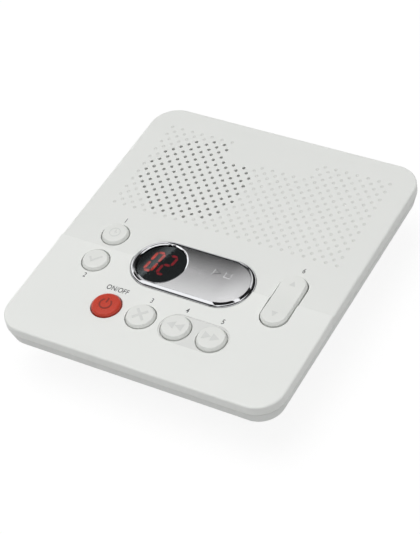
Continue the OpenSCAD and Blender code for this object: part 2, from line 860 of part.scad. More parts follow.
module clock_dome() { dome(clock_at, z_flange); }
module setup_dome() { dome(setup_at, z_flange); }
module power_dome() { dome(power_at, z_flange); }
module delete_dome() { dome(delete_at, z_flange); }
module repeat_dome() { dome(repeat_at, z_flange); }
module skip_dome() { dome(skip_at, z_flange); }
module play_dome() { dome([play_dome_x, crease_y], z_play_flange); }
module volume_domes() {
    for (s = [-1, 1]) dome([rocker_at[0], crease_y + s * rocker_dome_y], rocker_bottom);
}

// ---- Speaker and microphone ----

module at_speaker() { translate([speaker_x, speaker_y, 0]) children(); }

module speaker_cloth() {
    color("#2b2b2b") translate([0, 0, z_under - cloth_t]) linear_extrude(cloth_t) difference() {
        translate([speaker_x, speaker_y]) circle(r = speaker_r);
        translate(mic_at) circle(r = boot_r + 0.3);
    }
}

module speaker_gasket() {
    color("#3a3a3a") at_speaker() translate([0, 0, z_gasket]) difference() {
        cylinder(r = speaker_r, h = gasket_t);
        translate([0, 0, -1]) cylinder(r = speaker_r - 2.5, h = gasket_t + 2);
    }
}

module speaker_basket() {
    neck = 15;
    low = magnet_d / 2 + 1;
    color("#8d9093") at_speaker() rotate_extrude() polygon([
        [speaker_r - 2.5, z_gasket], [speaker_r, z_gasket], [speaker_r, z_rim],
        [speaker_r - 1.6, z_rim], [neck, z_rim - 1.8], [low, z_magnet_top],
        [6, z_magnet_top], [6, z_magnet_top + basket_t], [low - 0.6, z_magnet_top + basket_t],
        [neck - 1, z_rim - 1], [speaker_r - 2.5, z_rim + 0.2]
    ]);
}

module speaker_magnet() {
    color("#55585b") at_speaker() translate([0, 0, z_magnet]) difference() {
        cylinder(d = magnet_d, h = magnet_h);
        translate([0, 0, 1.2]) difference() {
            cylinder(r = 6, h = magnet_h);
            cylinder(r = 4.6, h = magnet_h);
        }
    }
}

module speaker_cone() {
    out = speaker_r - 2.6;
    color("#1f1f20") at_speaker() rotate_extrude() polygon([
        [out, z_rim + 0.35], [out, z_rim + 0.75], [out - 2, z_rim + 0.95], [5.2, z_rim - 2.9],
        [3, z_rim - 2.1], [0, z_rim - 1.8], [0, z_rim - 2.2], [5, z_rim - 3.4],
        [5, z_magnet + 2], [5.6, z_magnet + 2], [5.6, z_rim - 3.4], [out - 2, z_rim + 0.5]
    ]);
}

module speaker_clamps() {
    color("#9a9c9e") at_speaker() for (a = clamp_angles)
        translate([clamp_r * cos(a), clamp_r * sin(a), 0]) {
            translate([0, 0, z_rim - clamp_head_h]) cylinder(r = clamp_head_r, h = clamp_head_h);
            translate([0, 0, z_rim - eps]) cylinder(r = screw_r, h = 2.6);
        }
}

module speaker_leads() {
    color("#b02020") for (s = [0, 1])
        translate([lead_at[0], lead_at[1] + s * 2, z_parts])
            cylinder(r = lead_r, h = z_rim - 2.4 - z_parts, $fn = 16);
}

module microphone() {
    color("#b8bbbe") translate([mic_at[0], mic_at[1], z_under - 0.6 - mic_h]) cylinder(r = mic_r, h = mic_h);
}

module microphone_boot() {
    color("#1a1a1a") translate([mic_at[0], mic_at[1], 0]) difference() {
        translate([0, 0, z_under - 0.6 - mic_h]) cylinder(r = boot_r, h = mic_h + 0.6);
        translate([0, 0, z_under - 0.6 - mic_h - 1]) cylinder(r = mic_r, h = mic_h + 1);
        translate([0, 0, z_under - 1]) cylinder(d = grille_hole_d, h = 3);
    }
}

// ---- Main board ----

module main_board() {
    color("#2f6b45") translate([0, 0, z_main]) linear_extrude(board_t) difference() {
        translate([-main_x, main_front]) square([2 * main_x, main_back - main_front]);
        for (p = main_screw_at) translate(p) circle(r = screw_r + 0.3);
    }
}

// Flat packaged chip with rows of legs on two sides
module chip(at, size, legs) {
    w = size[0];
    l = size[1];
    translate([at[0], at[1], z_parts]) {
        translate([-w / 2, -l / 2, 0.1]) cube(size);
        for (s = [-1, 1], i = [0:legs - 1])
            translate([s * (w + chip_leg[0]) / 2, ((i + 0.5) / legs - 0.5) * l, chip_leg[2] / 2])
                cube([chip_leg[0] + 2 * eps, chip_leg[1], chip_leg[2]], center = true);
    }
}

module processor() { color("#202022") chip([8, base_front + 40], processor_size, 12); }
module memory_chip() { color("#202022") chip([-14, base_front + 40], memory_size, 10); }

// Coil between two end plates
module line_transformer() {
    w = transformer_size[0];
    l = transformer_size[1];
    coil_h = transformer_h - transformer_plate_h - 2;
    color("#c8a44a") translate([line_jack_x - 12, main_back - 54, z_parts]) {
        cube([w, l, transformer_plate_h]);
        translate([2, 1.5, transformer_plate_h - eps]) cube([w - 4, l - 3, coil_h + 2 * eps]);
        translate([0, 0, transformer_plate_h + coil_h]) cube([w, l, 2]);
    }
}

module line_relay() {
    color("#2c5fa8") translate([phone_jack_x + 10, main_back - 36, z_parts]) cube(relay_size);
}

// Upright electrolytic capacitor with its sleeve and rubber bung
module capacitor(x, y, r, h) {
    translate([x, y, z_parts]) {
        cylinder(r = r, h = 0.8);
        translate([0, 0, 0.8 - eps]) cylinder(r = r - 0.25, h = 0.6);
        translate([0, 0, 1.4 - 2 * eps]) cylinder(r = r, h = h);
    }
}

module capacitors() {
    color("#30364a") {
        for (y = [22, 32]) capacitor(34, main_front + y, 4, 9);
        capacitor(24, main_front + 24, 2.5, 6);
    }
}

module crystal() {
    color("#b9bcc0") translate([-2, base_front + 54, z_parts]) linear_extrude(3.5) stadium(3.2, 2.2);
}

module regulator() {
    color("#26262a") translate([power_jack_x, main_back - 30, z_parts]) {
        cube(regulator_size);
        translate([0, regulator_size[1] - 1, regulator_size[2] - eps]) cube([regulator_size[0], 1, 3]);
    }
}

// One connector on the main board and one under the keypad board
module board_connectors() {
    color("#e8e6dc") for (z = [z_parts, z_keypad - connector_size[2]])
        translate([-connector_size[0] / 2, ribbon_y - connector_size[1] / 2, z]) cube(connector_size);
}

module ribbon_cable() {
    low = z_parts + connector_size[2];
    color("#b8b8b0") translate([-ribbon_size[0] / 2, ribbon_y - ribbon_size[1] / 2, low])
        cube([ribbon_size[0], ribbon_size[1], z_keypad - connector_size[2] - low]);
}

// Modular telephone socket, open towards the back
module modular_jack(x) {
    color("#cfcfc8") translate([x - jack_w / 2, base_back - jack_d, z_parts]) difference() {
        cube([jack_w, jack_d, jack_h]);
        translate([(jack_w - socket_w) / 2, jack_d - socket_d, 2]) cube([socket_w, socket_d + 1, socket_h]);
        translate([(jack_w - latch_w) / 2, jack_d - socket_d, 2 + socket_h - eps])
            cube([latch_w, socket_d + 1, latch_h]);
    }
}

module line_jack() { modular_jack(line_jack_x); }
module phone_jack() { modular_jack(phone_jack_x); }

// Spring contacts along the floor of each telephone socket
module jack_contacts() {
    color("#d8b35a") for (x = [line_jack_x, phone_jack_x], i = [-1.5:1.5])
        translate([x + i * contact_pitch - contact_w / 2, base_back - socket_d, z_parts + 2])
            cube([contact_w, contact_l, 0.5]);
}

module power_jack() {
    color("#1d1d1f") translate([power_jack_x, base_back - power_d, z_parts]) difference() {
        translate([-power_w / 2, 0, 0]) cube([power_w, power_d, power_h]);
        translate([0, power_d - power_bore_d, power_h / 2]) rotate([-90, 0, 0])
            cylinder(r = power_bore_r, h = power_bore_d + 1);
    }
}

module power_jack_pin() {
    color("#d9dadc") translate([power_jack_x, base_back - power_bore_d, z_parts + power_h / 2])
        rotate([-90, 0, 0]) cylinder(r = power_pin_r, h = power_bore_d - 1);
}

// ---- Fasteners and feet ----

module case_screws() {
    color("#8f9194") for (p = case_screw_at) translate([p[0], p[1], z_tray]) {
        difference() {
            cylinder(r = screw_head_r, h = screw_head_h);
            for (a = [0, 90]) rotate(a) translate([-1.3, -0.25, -1]) cube([2.6, 0.5, 1.5]);
        }
        translate([0, 0, screw_head_h - eps]) cylinder(r = screw_r, h = 4.2);
    }
}

module board_screws() {
    color("#8f9194") for (p = main_screw_at) translate([p[0], p[1], 0]) {
        translate([0, 0, z_parts]) cylinder(r = screw_head_r, h = 1.4);
        translate([0, 0, z_parts - 5]) cylinder(r = screw_r, h = 5 + eps);
    }
}

module foot(x, y) {
    color("#3b3c3d") translate([x, y, 0]) {
        cylinder(d1 = foot_d - 1, d2 = foot_d, h = 0.5);
        translate([0, 0, 0.5 - eps]) cylinder(d = foot_d, h = foot_h + foot_recess - 0.5 + eps);
    }
}

module foot_front_left() { foot(-foot_x, foot_front); }
module foot_front_right() { foot(foot_x, foot_front); }
module foot_back_left() { foot(-foot_x, foot_back); }
module foot_back_right() { foot(foot_x, foot_back); }

front_cover();
grille_cover();
slab_tray();
bottom_case();
bezel();
display_lens();
display_module();
display_digits();
keypad_board();
keypad_mat();
keypad_screws();
power_lamp();
clock_key();
setup_key();
power_key();
delete_key();
repeat_key();
skip_key();
play_key();
volume_rocker();
clock_dome();
setup_dome();
power_dome();
delete_dome();
repeat_dome();
skip_dome();
play_dome();
volume_domes();
speaker_cloth();
speaker_gasket();
speaker_basket();
speaker_magnet();
speaker_cone();
speaker_clamps();
speaker_leads();
microphone();
microphone_boot();
main_board();
processor();
memory_chip();
line_transformer();
line_relay();
capacitors();
crystal();
regulator();
board_connectors();
ribbon_cable();
line_jack();
phone_jack();
jack_contacts();
power_jack();
power_jack_pin();
case_screws();
board_screws();
foot_front_left();
foot_front_right();
foot_back_left();
foot_back_right();
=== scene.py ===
"""Looks of a desk-top answering machine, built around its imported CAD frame.

Every builder below takes millimetres in the CAD frame: +X right, +Y back, +Z up,
with the origin on the table under the middle of the slab.
"""

import json
import math

import bmesh
import bpy
from mathutils import Euler, Matrix, Vector
from mathutils.geometry import delaunay_2d_cdt


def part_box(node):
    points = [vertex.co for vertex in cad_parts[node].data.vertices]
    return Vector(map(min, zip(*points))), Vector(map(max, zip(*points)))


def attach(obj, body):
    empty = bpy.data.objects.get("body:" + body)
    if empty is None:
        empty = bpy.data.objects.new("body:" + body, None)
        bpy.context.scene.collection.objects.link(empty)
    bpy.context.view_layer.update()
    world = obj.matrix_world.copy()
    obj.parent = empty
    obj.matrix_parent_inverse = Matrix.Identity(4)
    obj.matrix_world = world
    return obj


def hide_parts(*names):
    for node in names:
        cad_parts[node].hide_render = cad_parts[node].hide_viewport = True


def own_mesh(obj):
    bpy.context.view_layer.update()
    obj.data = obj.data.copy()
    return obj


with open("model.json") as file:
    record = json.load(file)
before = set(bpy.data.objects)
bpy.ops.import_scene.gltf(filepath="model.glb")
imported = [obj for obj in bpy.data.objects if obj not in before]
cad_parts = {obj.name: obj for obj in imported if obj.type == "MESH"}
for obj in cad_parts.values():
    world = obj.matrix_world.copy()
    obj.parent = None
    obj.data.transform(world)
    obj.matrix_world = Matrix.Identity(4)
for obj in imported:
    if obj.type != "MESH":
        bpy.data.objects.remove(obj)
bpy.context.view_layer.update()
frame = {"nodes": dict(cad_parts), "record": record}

MM = 0.001

# Slab: half sizes, corner radius, and its levels
HALF_W, HALF_L, CORNER_R = 64.5, 71.0, 12.0
Z_PART, Z_UNDER, Z_TOP = 28.9, 31.3, 33.3
EDGE_R = 0.8
WALL_T = 2.2

# The crease between the two covers, and the step up to the front one
CREASE_Y, CREASE_STEP, CREASE_FADE = -17.3, 0.6, 6.0
SEAM_R, SEAM_GAP = 0.3, 0.06
# At the sides the crease bends forward by SEAM_RUN as it drops by SEAM_DROP
SEAM_RUN, SEAM_DROP, SEAM_FADE = 2.0, 2.2, 7.0
HOLE_FILLET, FOOT_CHAMFER = 0.22, 0.15
# Strips beside the roundings of an edge and of a hole, before the open top starts
EDGE_STRIP, HOLE_STRIP = 0.3, 0.2

# Round keys and the rocker
ROW_Y, ROW_PITCH = -45.8, 16.4
ROW_R, SIDE_R, KEY_GAP = 6.25, 5.85, 0.42
SIDE_X, SIDE_Y = 42.3, 8.1
KEY_TOP, KEY_FOOT, KEY_CROWN = 34.9, 30.55, 0.25
# How far each point of a key's side is out from its flat top, and below it
WHITE_SIDE = [(0, 0), (0.13, 0.05), (0.24, 0.17), (0.32, 0.34), (0.79, 1.25), (0.85, 1.4)]
RED_SIDE = [(0, 0), (0.34, 0.05), (0.6, 0.16), (0.85, 0.35), (1.04, 0.6), (1.2, 1.2)]
FLANGE_OUT, FLANGE_T = 1.1, 0.7
CAP_WALL, CAP_POST_R = 1.2, 2.0
MARK_RISE, MARK_SUNK = 0.1, 0.3
ROCKER_TOP, ROCKER_FOOT, ROCKER_DIP, ROCKER_HOLLOW = 35.15, 30.4, 0.35, 2.4
PIVOT_Z, PIVOT_R, PIVOT_IN, PIVOT_OUT = 30.3, 0.8, 1.6, 2.3
RECESS_DEPTH, RECESS_SLOPE, RECESS_OUT = 0.3, 0.25, 0.75
# Points that shape the front cover: how far in front of the crease, and their pitch
SWELL_AHEAD = (1.2, 2, 3, 4.5, 6, 8, 10.5, 13.5, 17, 21, 26, 32, 39, 46)
SWELL_PITCH = 4.0
# How far those points stay off key holes, the bezel, the rocker's slot and the recess
KEY_CLEAR, BEZEL_CLEAR, SLOT_CLEAR, RECESS_CLEAR = 0.9, (2.0, 1.5), 1.2, 0.8

# Bezel, window and play key; their round ends stand SPINE to each side of the middle
SPINE = 14.7
BEZEL_R, BEZEL_FOOT, BEZEL_TOP = 13.25, 29.4, 34.35
BEZEL_HOLE = 13.38
RIM_IN, RIM_LIP, RIM_BASE = 11.3, 0.08, 33.3
RIM_START = 18  # degrees round the ellipse of the rim's fall where its crest starts
WINDOW_X, WINDOW_R = -SPINE, 10.65
RING_W, RING_TOP, RING_FOOT = 0.65, 34.3, 31.8
# The ring's polished chamfer: how far each point is out from the window, and down
RING_SIDE = [(0.05, 0.31), (0.2, 0.224), (0.38, 0.12), (0.48, 0.064)]
RING_SIDE += [(0.56, 0.025), (0.62, 0), (0.65, 0.02)]
LENS_R, LENS_TOP, LENS_T, LENS_CHAMFER = WINDOW_R - 0.05, 33.5, 0.9, 0.15
PLATE_FOOT, PLATE_TOP, PLATE_CROWN = 30.4, 34.65, 0.5
PLATE_EDGE, PLATE_GAP = 0.2, 0.06
PLATE_FALL, FALL_START = 0.2, 2.0  # how far the plate falls to the right, and from which x

# The lit digits: place of their middle, size, lean, and one segment's size
DIGITS_AT, DIGIT_PITCH = (-15.8, -16.5), 6.1
DIGIT_H, DIGIT_W, DIGIT_LEAN = 12.0, 4.6, 6.0
STROKE, SEGMENT_GAP, DIGIT_Z, DIGIT_T = 1.15, 0.32, 32.4, 0.15

# Grille pattern
STEP, GRILLE_Y = 2.54, 33.6
COLUMNS, ROWS = 21, 10
HOLE_R, HOLE_CHAMFER = 0.75, 0.12
DIMPLE_R, DIMPLE_DEPTH = 0.85, 0.35
# A dimple's round floor: shares of its radius, and of its depth
DIMPLE_FLOOR = [(0.75, 0.45), (0.45, 0.85), (0.15, 1)]
SPEAKER_X, SPEAKER_Y, SPEAKER_R = -27.3, 32.85, 24.6

# Printed figures: their height, its share of the type's size, and how narrow they are
FIGURE_H, CAPITAL, NARROW = 2.6, 0.73, 0.78
# The film of ink is INK_T thick each way, and spreads as much past its outline
INK_T, INK_CLEAR = 0.02, 0.005

# Weave of the cloth, and the length of one wave in a wave texture of scale 1
WEAVE, WEAVE_DEPTH = 3.77, 0.05
WAVE_UNIT = math.tau / 20

ARC = 24  # steps in half a turn of a visible outline
KEY_SIDES, HOLE_SIDES, DIMPLE_SIDES, DOME_SIDES = 72, 12, 10, 36  # in a whole turn
WELD = 0.0002  # points nearer than this become one
CAD_SHARP = 28  # degrees between faces above which a carried node keeps its edge


# ---- Camera ----

CAMERA_AT = (310.39, -411.29, 540.56)
CAMERA_TURN = (44.179, 8.221, 29.0)  # degrees about X, Y and Z
camera = bpy.data.objects.new("camera", bpy.data.cameras.new("camera"))
camera.data.lens = 117.6
camera.data.sensor_width = 36
camera.data.clip_start, camera.data.clip_end = 0.05, 20
camera.matrix_world = Matrix.LocRotScale(
    Vector(CAMERA_AT) * MM, Euler([math.radians(a) for a in CAMERA_TURN]), None
)
bpy.context.scene.collection.objects.link(camera)
bpy.context.scene.camera = camera
bpy.context.scene.view_settings.view_transform = "Standard"


# ---- Outlines ----


def turn(cx, cy, radius, start, end, steps=ARC):
    """Points along an arc, angles in degrees, both ends included."""
    angles = [math.radians(start + (end - start) * i / steps) for i in range(steps + 1)]
    return [(cx + radius * math.cos(a), cy + radius * math.sin(a)) for a in angles]


def disc(cx, cy, radius, steps=2 * ARC):
    """Points of a whole circle."""
    return turn(cx, cy, radius, 0, 360 - 360 / steps, steps - 1)


def stadium(cx, cy, half, radius, steps=ARC):
    """Outline with a round end at each side, half mm from the middle."""
    right_end = turn(cx + half, cy, radius, -90, 90, steps)
    return right_end + turn(cx - half, cy, radius, 90, 270, steps)


def strip(points, width):
    """Outline of a line of even width through points, with mitred bends."""
    sides = ([], [])
    for i, p in enumerate(points):
        before = Vector(points[max(i - 1, 0)])
        after = Vector(points[min(i + 1, len(points) - 1)])
        here = Vector(p)
        ways = [w.normalized() for w in (here - before, after - here) if w.length > 0]
        way = sum(ways, Vector((0, 0))).normalized()
        reach = width / 2 / max(way.dot(ways[0]), 0.5)
        across = Vector((-way.y, way.x)) * reach
        sides[0].append(tuple(here + across))
        sides[1].append(tuple(here - across))
    return sides[0] + sides[1][::-1]


# ---- Mesh building ----


class Shell:
    """A closed surface put together from loops of points."""

    def __init__(self):
        self.points, self.faces = [], []

    def loop(self, outline, z):
        """Adds a loop; z is a level, or a function of x and y."""
        first = len(self.points)
        for x, y in outline:
            self.points.append((x, y, z(x, y) if callable(z) else z))
        return list(range(first, len(self.points)))

    def ring(self, points):
        """Adds a loop whose points are whole already."""
        first = len(self.points)
        self.points.extend(points)
        return list(range(first, len(self.points)))

    def skin(self, *loops):
        """Quads between each loop and the next one."""
        for a, b in zip(loops, loops[1:]):
            for i in range(len(a)):
                j = (i + 1) % len(a)
                self.faces.append((a[i], a[j], b[j], b[i]))

    def cap(self, loop):
        self.faces.append(tuple(loop))

    def fill(self, outline, z, holes=(), creases=(), extra=()):
        """Triangles inside an outline, outside its holes, that keep the creases."""
        loops = [outline, *holes, *creases]
        flat, polygons = [], []
        for pts in loops:
            area = sum(p[0] * q[1] - q[0] * p[1] for p, q in zip(pts, pts[1:] + pts[:1]))
            polygons.append(list(range(len(flat), len(flat) + len(pts))))
            flat.extend(pts if area > 0 else pts[::-1])
        flat.extend(extra)
        found = delaunay_2d_cdt([Vector(p) for p in flat], [], polygons, 1, 1e-5, True)
        shut = set(range(1, 1 + len(holes)))
        first = len(self.points)
        for p in found[0]:
            self.points.append((p.x, p.y, z(p.x, p.y) if callable(z) else z))
        for face, inside in zip(found[2], found[5]):
            if 0 in inside and not shut & set(inside):
                self.faces.append(tuple(first + i for i in face))


def prism(outlines, top, bottom, holes=()):
    """Solid between two levels; several outlines make several solids."""
    made = Shell()
    for outline in outlines:
        made.fill(outline, top, holes)
        made.fill(outline, bottom, holes)
        for loop in (outline, *holes):
            made.skin(made.loop(loop, top), made.loop(loop, bottom))
    return made


def turned(cx, cy, profile, steps=2 * ARC):
    """Solid of revolution from (radius, z) points; a zero radius closes it."""
    made = Shell()
    loops = [made.loop(disc(cx, cy, r, steps), z) for r, z in profile if r > 0]
    made.skin(*loops)
    if profile[0][0] == 0:
        made.cap(loops[0])
    if profile[-1][0] == 0:
        made.cap(loops[-1])
    if profile[0][0] > 0 and profile[-1][0] > 0:
        made.skin(loops[-1], loops[0])
    return made


def piece(name, shell, material, body="housing", replaces=(), sharp=32):
    """Makes a piece from a shell; edges over sharp degrees stay sharp."""
    mesh = bpy.data.meshes.new(name)
    mesh.from_pydata([Vector(p) * MM for p in shell.points], [], shell.faces)
    return dress(name, mesh, material, body, replaces, sharp)


def dress(name, mesh, material, body, replaces=(), sharp=32):
    """Welds a mesh, makes the object, and has it ride on its CAD body."""
    work = bmesh.new()
    work.from_mesh(mesh)
    bmesh.ops.remove_doubles(work, verts=work.verts, dist=WELD * MM)
    bmesh.ops.recalc_face_normals(work, faces=work.faces)
    work.to_mesh(mesh)
    work.free()
    mesh.shade_smooth()
    mesh.set_sharp_from_angle(angle=math.radians(sharp))
    mesh.materials.append(material)
    made = bpy.data.objects.new(name, mesh)
    bpy.context.scene.collection.objects.link(made)
    weighted = made.modifiers.new("even shading", "WEIGHTED_NORMAL")
    weighted.keep_sharp = True
    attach(made, body)
    if replaces:
        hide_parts(*replaces)
    return made


# ---- Materials ----


def linear(hex_colour):
    """sRGB hex to linear RGBA."""
    channels = [int(hex_colour[i : i + 2], 16) / 255 for i in (1, 3, 5)]
    return (
        *(c / 12.92 if c <= 0.04045 else ((c + 0.055) / 1.055) ** 2.4 for c in channels),
        1,
    )


def add(tree, kind, inputs, **settings):
    """Adds a shader node with its settings, and links or sets its inputs."""
    made = tree.nodes.new("ShaderNode" + kind)
    for key, value in settings.items():
        setattr(made, key, value)
    for key, value in inputs.items():
        if isinstance(value, bpy.types.NodeSocket):
            tree.links.new(value, made.inputs[key])
        else:
            made.inputs[key].default_value = value
    return made


def per_mm(size):
    """Scale of a texture in object space whose features are that many mm apart."""
    return 1 / (size * MM)


def finish(
    name,
    colour,
    rough,
    second=None,
    patch=12.0,
    grain=0.35,
    depth=0.01,
    rough_spread=0.06,
    stretch=(1, 1, 1),
    **shader
):
    """A solid material whose colour drifts towards a second one in soft patches
    and whose surface has a grain, both sized in millimetres."""
    material = bpy.data.materials.new(name)
    material.use_nodes = True
    tree = material.node_tree
    tree.nodes.clear()
    place = add(tree, "TexCoord", {}).outputs["Object"]
    patches = add(
        tree, "TexNoise", {"Vector": place, "Scale": per_mm(patch), "Detail": 3.0}
    )
    drift = add(
        tree,
        "Mix",
        {
            "Factor": patches.outputs["Fac"],
            "A": linear(colour),
            "B": linear(second or colour),
        },
        data_type="RGBA",
    )
    drawn = add(tree, "Mapping", {"Vector": place, "Scale": stretch})
    grains = add(
        tree,
        "TexNoise",
        {
            "Vector": drawn.outputs["Vector"],
            "Scale": per_mm(grain),
            "Detail": 2.0,
            "Roughness": 0.6,
        },
    )
    roughness = add(
        tree,
        "MapRange",
        {
            "Value": grains.outputs["Fac"],
            "To Min": rough - rough_spread / 2,
            "To Max": rough + rough_spread / 2,
        },
    )
    relief = add(
        tree,
        "Bump",
        {"Height": grains.outputs["Fac"], "Distance": depth * MM, "Strength": 1.0},
    )
    surface = add(
        tree,
        "BsdfPrincipled",
        {
            "Base Color": drift.outputs["Result"],
            "Roughness": roughness.outputs["Result"],
            "Normal": relief.outputs["Normal"],
            **{key.replace("_", " "): value for key, value in shader.items()},
        },
    )
    add(tree, "OutputMaterial", {"Surface": surface.outputs["BSDF"]})
    return material


# White ABS covers, spark-textured in the mould: matt, faintly cloudy, soft sheen.
abs_cover = finish(
    "spark-textured white ABS", "#e8e9e6", 0.36, "#e5e7e4", patch=30, grain=0.5, depth=0.004
)
# The front cover is the cover plastic painted a little lighter, as painted light for the
# brighter light on it, and a little smoother.
abs_front_painted_lighter = finish(
    "finely textured white ABS, painted lighter", "#ecedea", 0.34, "#e9ebe8", patch=30, grain=0.5, depth=0.004
)
# The recess round two of the keys is textured more deeply, and painted darker as the shade that
# falls in it.
abs_recess_painted_shade = finish(
    "deeply textured white ABS, painted darker", "#dfe0dd", 0.45, "#dcdddb", patch=30, grain=0.4, depth=0.01
)
# The dimples were etched into the mould, so they come out dead matt; their darker white is
# painted shade in the hollows.
abs_dimple_painted_shade = finish(
    "etched white ABS, painted darker", "#dadbd8", 0.9, "#d7d8d5", patch=30, Specular_IOR_Level=0.05
)
# The tray and base are the same plastic from another tool: a touch greyer, duller.
abs_base = finish(
    "moulded pale grey ABS", "#dfe0de", 0.52, "#dcdedb", patch=30, grain=0.5, depth=0.008
)
# Key caps come out of a polished tool, so they are smoother and brighter.
key_cap = finish(
    "polished white ABS", "#e7e8e5", 0.3, "#e5e7e3", patch=8, grain=0.6, depth=0.001
)
# Marks on the caps are raised in the same plastic, duller, and painted greyer in small patches,
# as the faint shade that shows their relief.
key_mark_painted_shade = finish("moulded raised ABS mark, painted greyer", "#dcdddb", 0.45, "#d3d5d2", patch=3, depth=0.004)
# Translucent red cap over a lamp: colour from within, shiny skin.
red_cap = finish(
    "moulded translucent red polycarbonate",
    "#cb3c25",
    0.28,
    "#c03c28",
    patch=5,
    depth=0.002,
    Subsurface_Weight=0.15,
    Subsurface_Radius=(0.002, 0.0006, 0.0004),
)
# Its mark is pad-printed in a deeper red, and less shiny.
red_mark = finish("pad-printed dark red ink", "#7c2a1f", 0.4, "#93301f", patch=3, depth=0.003)
# Bright chromium over copper on plastic: near mirror, faint ripple of the moulding.
chrome = finish(
    "bright chromium plate",
    "#d2d3d5",
    0.05,
    "#cecfd2",
    patch=6,
    grain=3.0,
    depth=0.0002,
    rough_spread=0.02,
    Metallic=1.0,
)
# Satin chromium: blasted before plating, so reflections blur into a gradient.
satin = finish(
    "satin chromium plate",
    "#dededf",
    0.14,
    "#dbdbdc",
    patch=8,
    grain=0.4,
    depth=0.0005,
    Metallic=1.0,
)
# Ink on the covers: thin and dark grey, a little uneven where the screen lifted.
ink = finish("screen-printed dark grey ink", "#38393c", 0.55, "#424347", patch=1.2, grain=0.2)
# Black inner plastics come dull out of the mould, and stay quiet behind the gaps.
black_abs = finish("moulded black ABS", "#1b1c1f", 0.55, "#202124", patch=6)
# Feet: a dusty black that swallows light.
rubber = finish(
    "moulded black rubber", "#191a1b", 0.7, "#232425", patch=4, grain=0.5, depth=0.02
)
# Domes under the keys: milky, and light sinks a little way into them.
silicone = finish(
    "moulded silicone rubber",
    "#c9c9c4",
    0.5,
    "#c0c0ba",
    patch=6,
    Subsurface_Weight=0.1,
    Subsurface_Radius=(0.001, 0.001, 0.001),
)
# Solder mask: a satin green, cloudy over the copper that it covers.
board = finish(
    "screened green solder mask", "#1f5a38", 0.35, "#2a6b44", patch=2.5, grain=0.8
)
# Zinc plate on stampings: a pale metal with a yellowish cast in patches.
steel = finish(
    "zinc-plated stamped steel", "#a9abad", 0.32, "#b6b4a6", patch=5, grain=0.6, Metallic=1.0
)
# The magnet was ground flat: a dull dark grey with fine lines.
ferrite = finish("ground ferrite", "#2b2b2e", 0.6, "#343437", patch=3, stretch=(1, 1, 8))
# The cone is felted paper: dull black, with its fibres standing up.
paper = finish("pressed black paper", "#1c1c1e", 0.75, "#26262a", patch=2, depth=0.03)
# Foam: dead black, and rough with cut cells 0.7 mm wide.
foam = finish("die-cut black foam", "#1d1d1f", 0.9, "#29292b", patch=0.9, grain=0.7, depth=0.08)
# Wire insulation: a smooth, strong red with a soft shine.
wire = finish("extruded red PVC", "#a01c1c", 0.4, "#8c1616", patch=2)
# Tape round the winding: yellow, with its turns showing as fine lines.
tape = finish(
    "wound yellow polyester tape", "#b98a2c", 0.45, "#c99a3c", patch=3, stretch=(1, 1, 6)
)
# The relay's case: a smooth, even blue.
relay_case = finish("moulded blue polyester", "#27518f", 0.3, "#2c5a9d", patch=5)
# Capacitor sleeves: dark blue with a soft shine, streaked upright as they shrank.
sleeve = finish(
    "heat-shrunk blue PVC", "#20273d", 0.3, "#2a3350", patch=4, stretch=(1, 1, 0.2)
)
# Connector housings: creamy, with a little light in their edges.
nylon = finish(
    "moulded natural nylon", "#ddd8c6", 0.45, "#d3cdb8", patch=3, Subsurface_Weight=0.08
)
# Flat cable: grey, in patches as wide as its 1.27 mm conductors, ribbed lengthwise.
flat_cable = finish(
    "extruded flat cable", "#a9a9a4", 0.5, "#8f8f8b", patch=1.27, stretch=(1, 0.02, 0.02)
)
# Contacts: a warm yellow that mirrors softly.
gold = finish("flash gold plate", "#d9b25e", 0.22, "#cfa24c", patch=2, Metallic=1.0)
# Pins and cans: a warm grey, softer than the chromium.
nickel = finish("dull nickel plate", "#bdbab2", 0.2, "#b2aea5", patch=3, Metallic=1.0)
# Lamps were cast: glassy pale orange.
lamp = finish("cast epoxy", "#f0b080", 0.25, "#e8a070", patch=1.5)


def woven_cloth():
    """Black acoustic cloth: soft and lightless. Its threads are too fine to show, so
    its weave is drawn as coarse as WEAVE."""
    made = finish("woven black cloth", "#0d0d0e", 0.9, "#161617", patch=1.5)
    tree = made.node_tree
    place = add(tree, "TexCoord", {}).outputs["Object"]
    weft, warp = (
        add(
            tree,
            "TexWave",
            {"Vector": place, "Scale": per_mm(WEAVE) * WAVE_UNIT, "Distortion": 0.5},
            bands_direction=way,
        ).outputs["Fac"]
        for way in ("X", "Y")
    )
    weave = add(tree, "Math", {0: weft, 1: warp}, operation="MULTIPLY").outputs[0]
    relief = add(tree, "Bump", {"Height": weave, "Distance": WEAVE_DEPTH * MM})
    surface = next(n for n in tree.nodes if n.type == "BSDF_PRINCIPLED")
    tree.links.new(relief.outputs["Normal"], surface.inputs["Normal"])
    return made


def smoked_acrylic():
    """Polished acrylic window, dyed dark: a mirror that lets lit digits through."""
    return finish(
        "polished smoked acrylic",
        "#5c6062",
        0.02,
        "#585c5e",
        patch=20,
        grain=8,
        depth=0.0005,
        rough_spread=0.01,
        Transmission_Weight=1.0,
        IOR=1.42,
        Specular_Tint=linear("#d5e6ea"),
    )


def lit_segment(name, colour, low, high):
    """Red segment lit from behind, in uneven patches of its light guide."""
    made = finish(name, colour, 0.4, patch=1.4)
    tree = made.node_tree
    place = add(tree, "TexCoord", {}).outputs["Object"]
    glow = add(tree, "TexNoise", {"Vector": place, "Scale": per_mm(1.6), "Detail": 1.0})
    level = add(
        tree,
        "MapRange",
        {
            "Value": glow.outputs["Fac"],
            "From Min": 0.3,
            "From Max": 0.7,
            "To Min": low,
            "To Max": high,
        },
    )
    surface = next(n for n in tree.nodes if n.type == "BSDF_PRINCIPLED")
    surface.inputs["Emission Color"].default_value = linear(colour)
    tree.links.new(level.outputs["Result"], surface.inputs["Emission Strength"])
    return made


cloth = woven_cloth()
window_acrylic = smoked_acrylic()
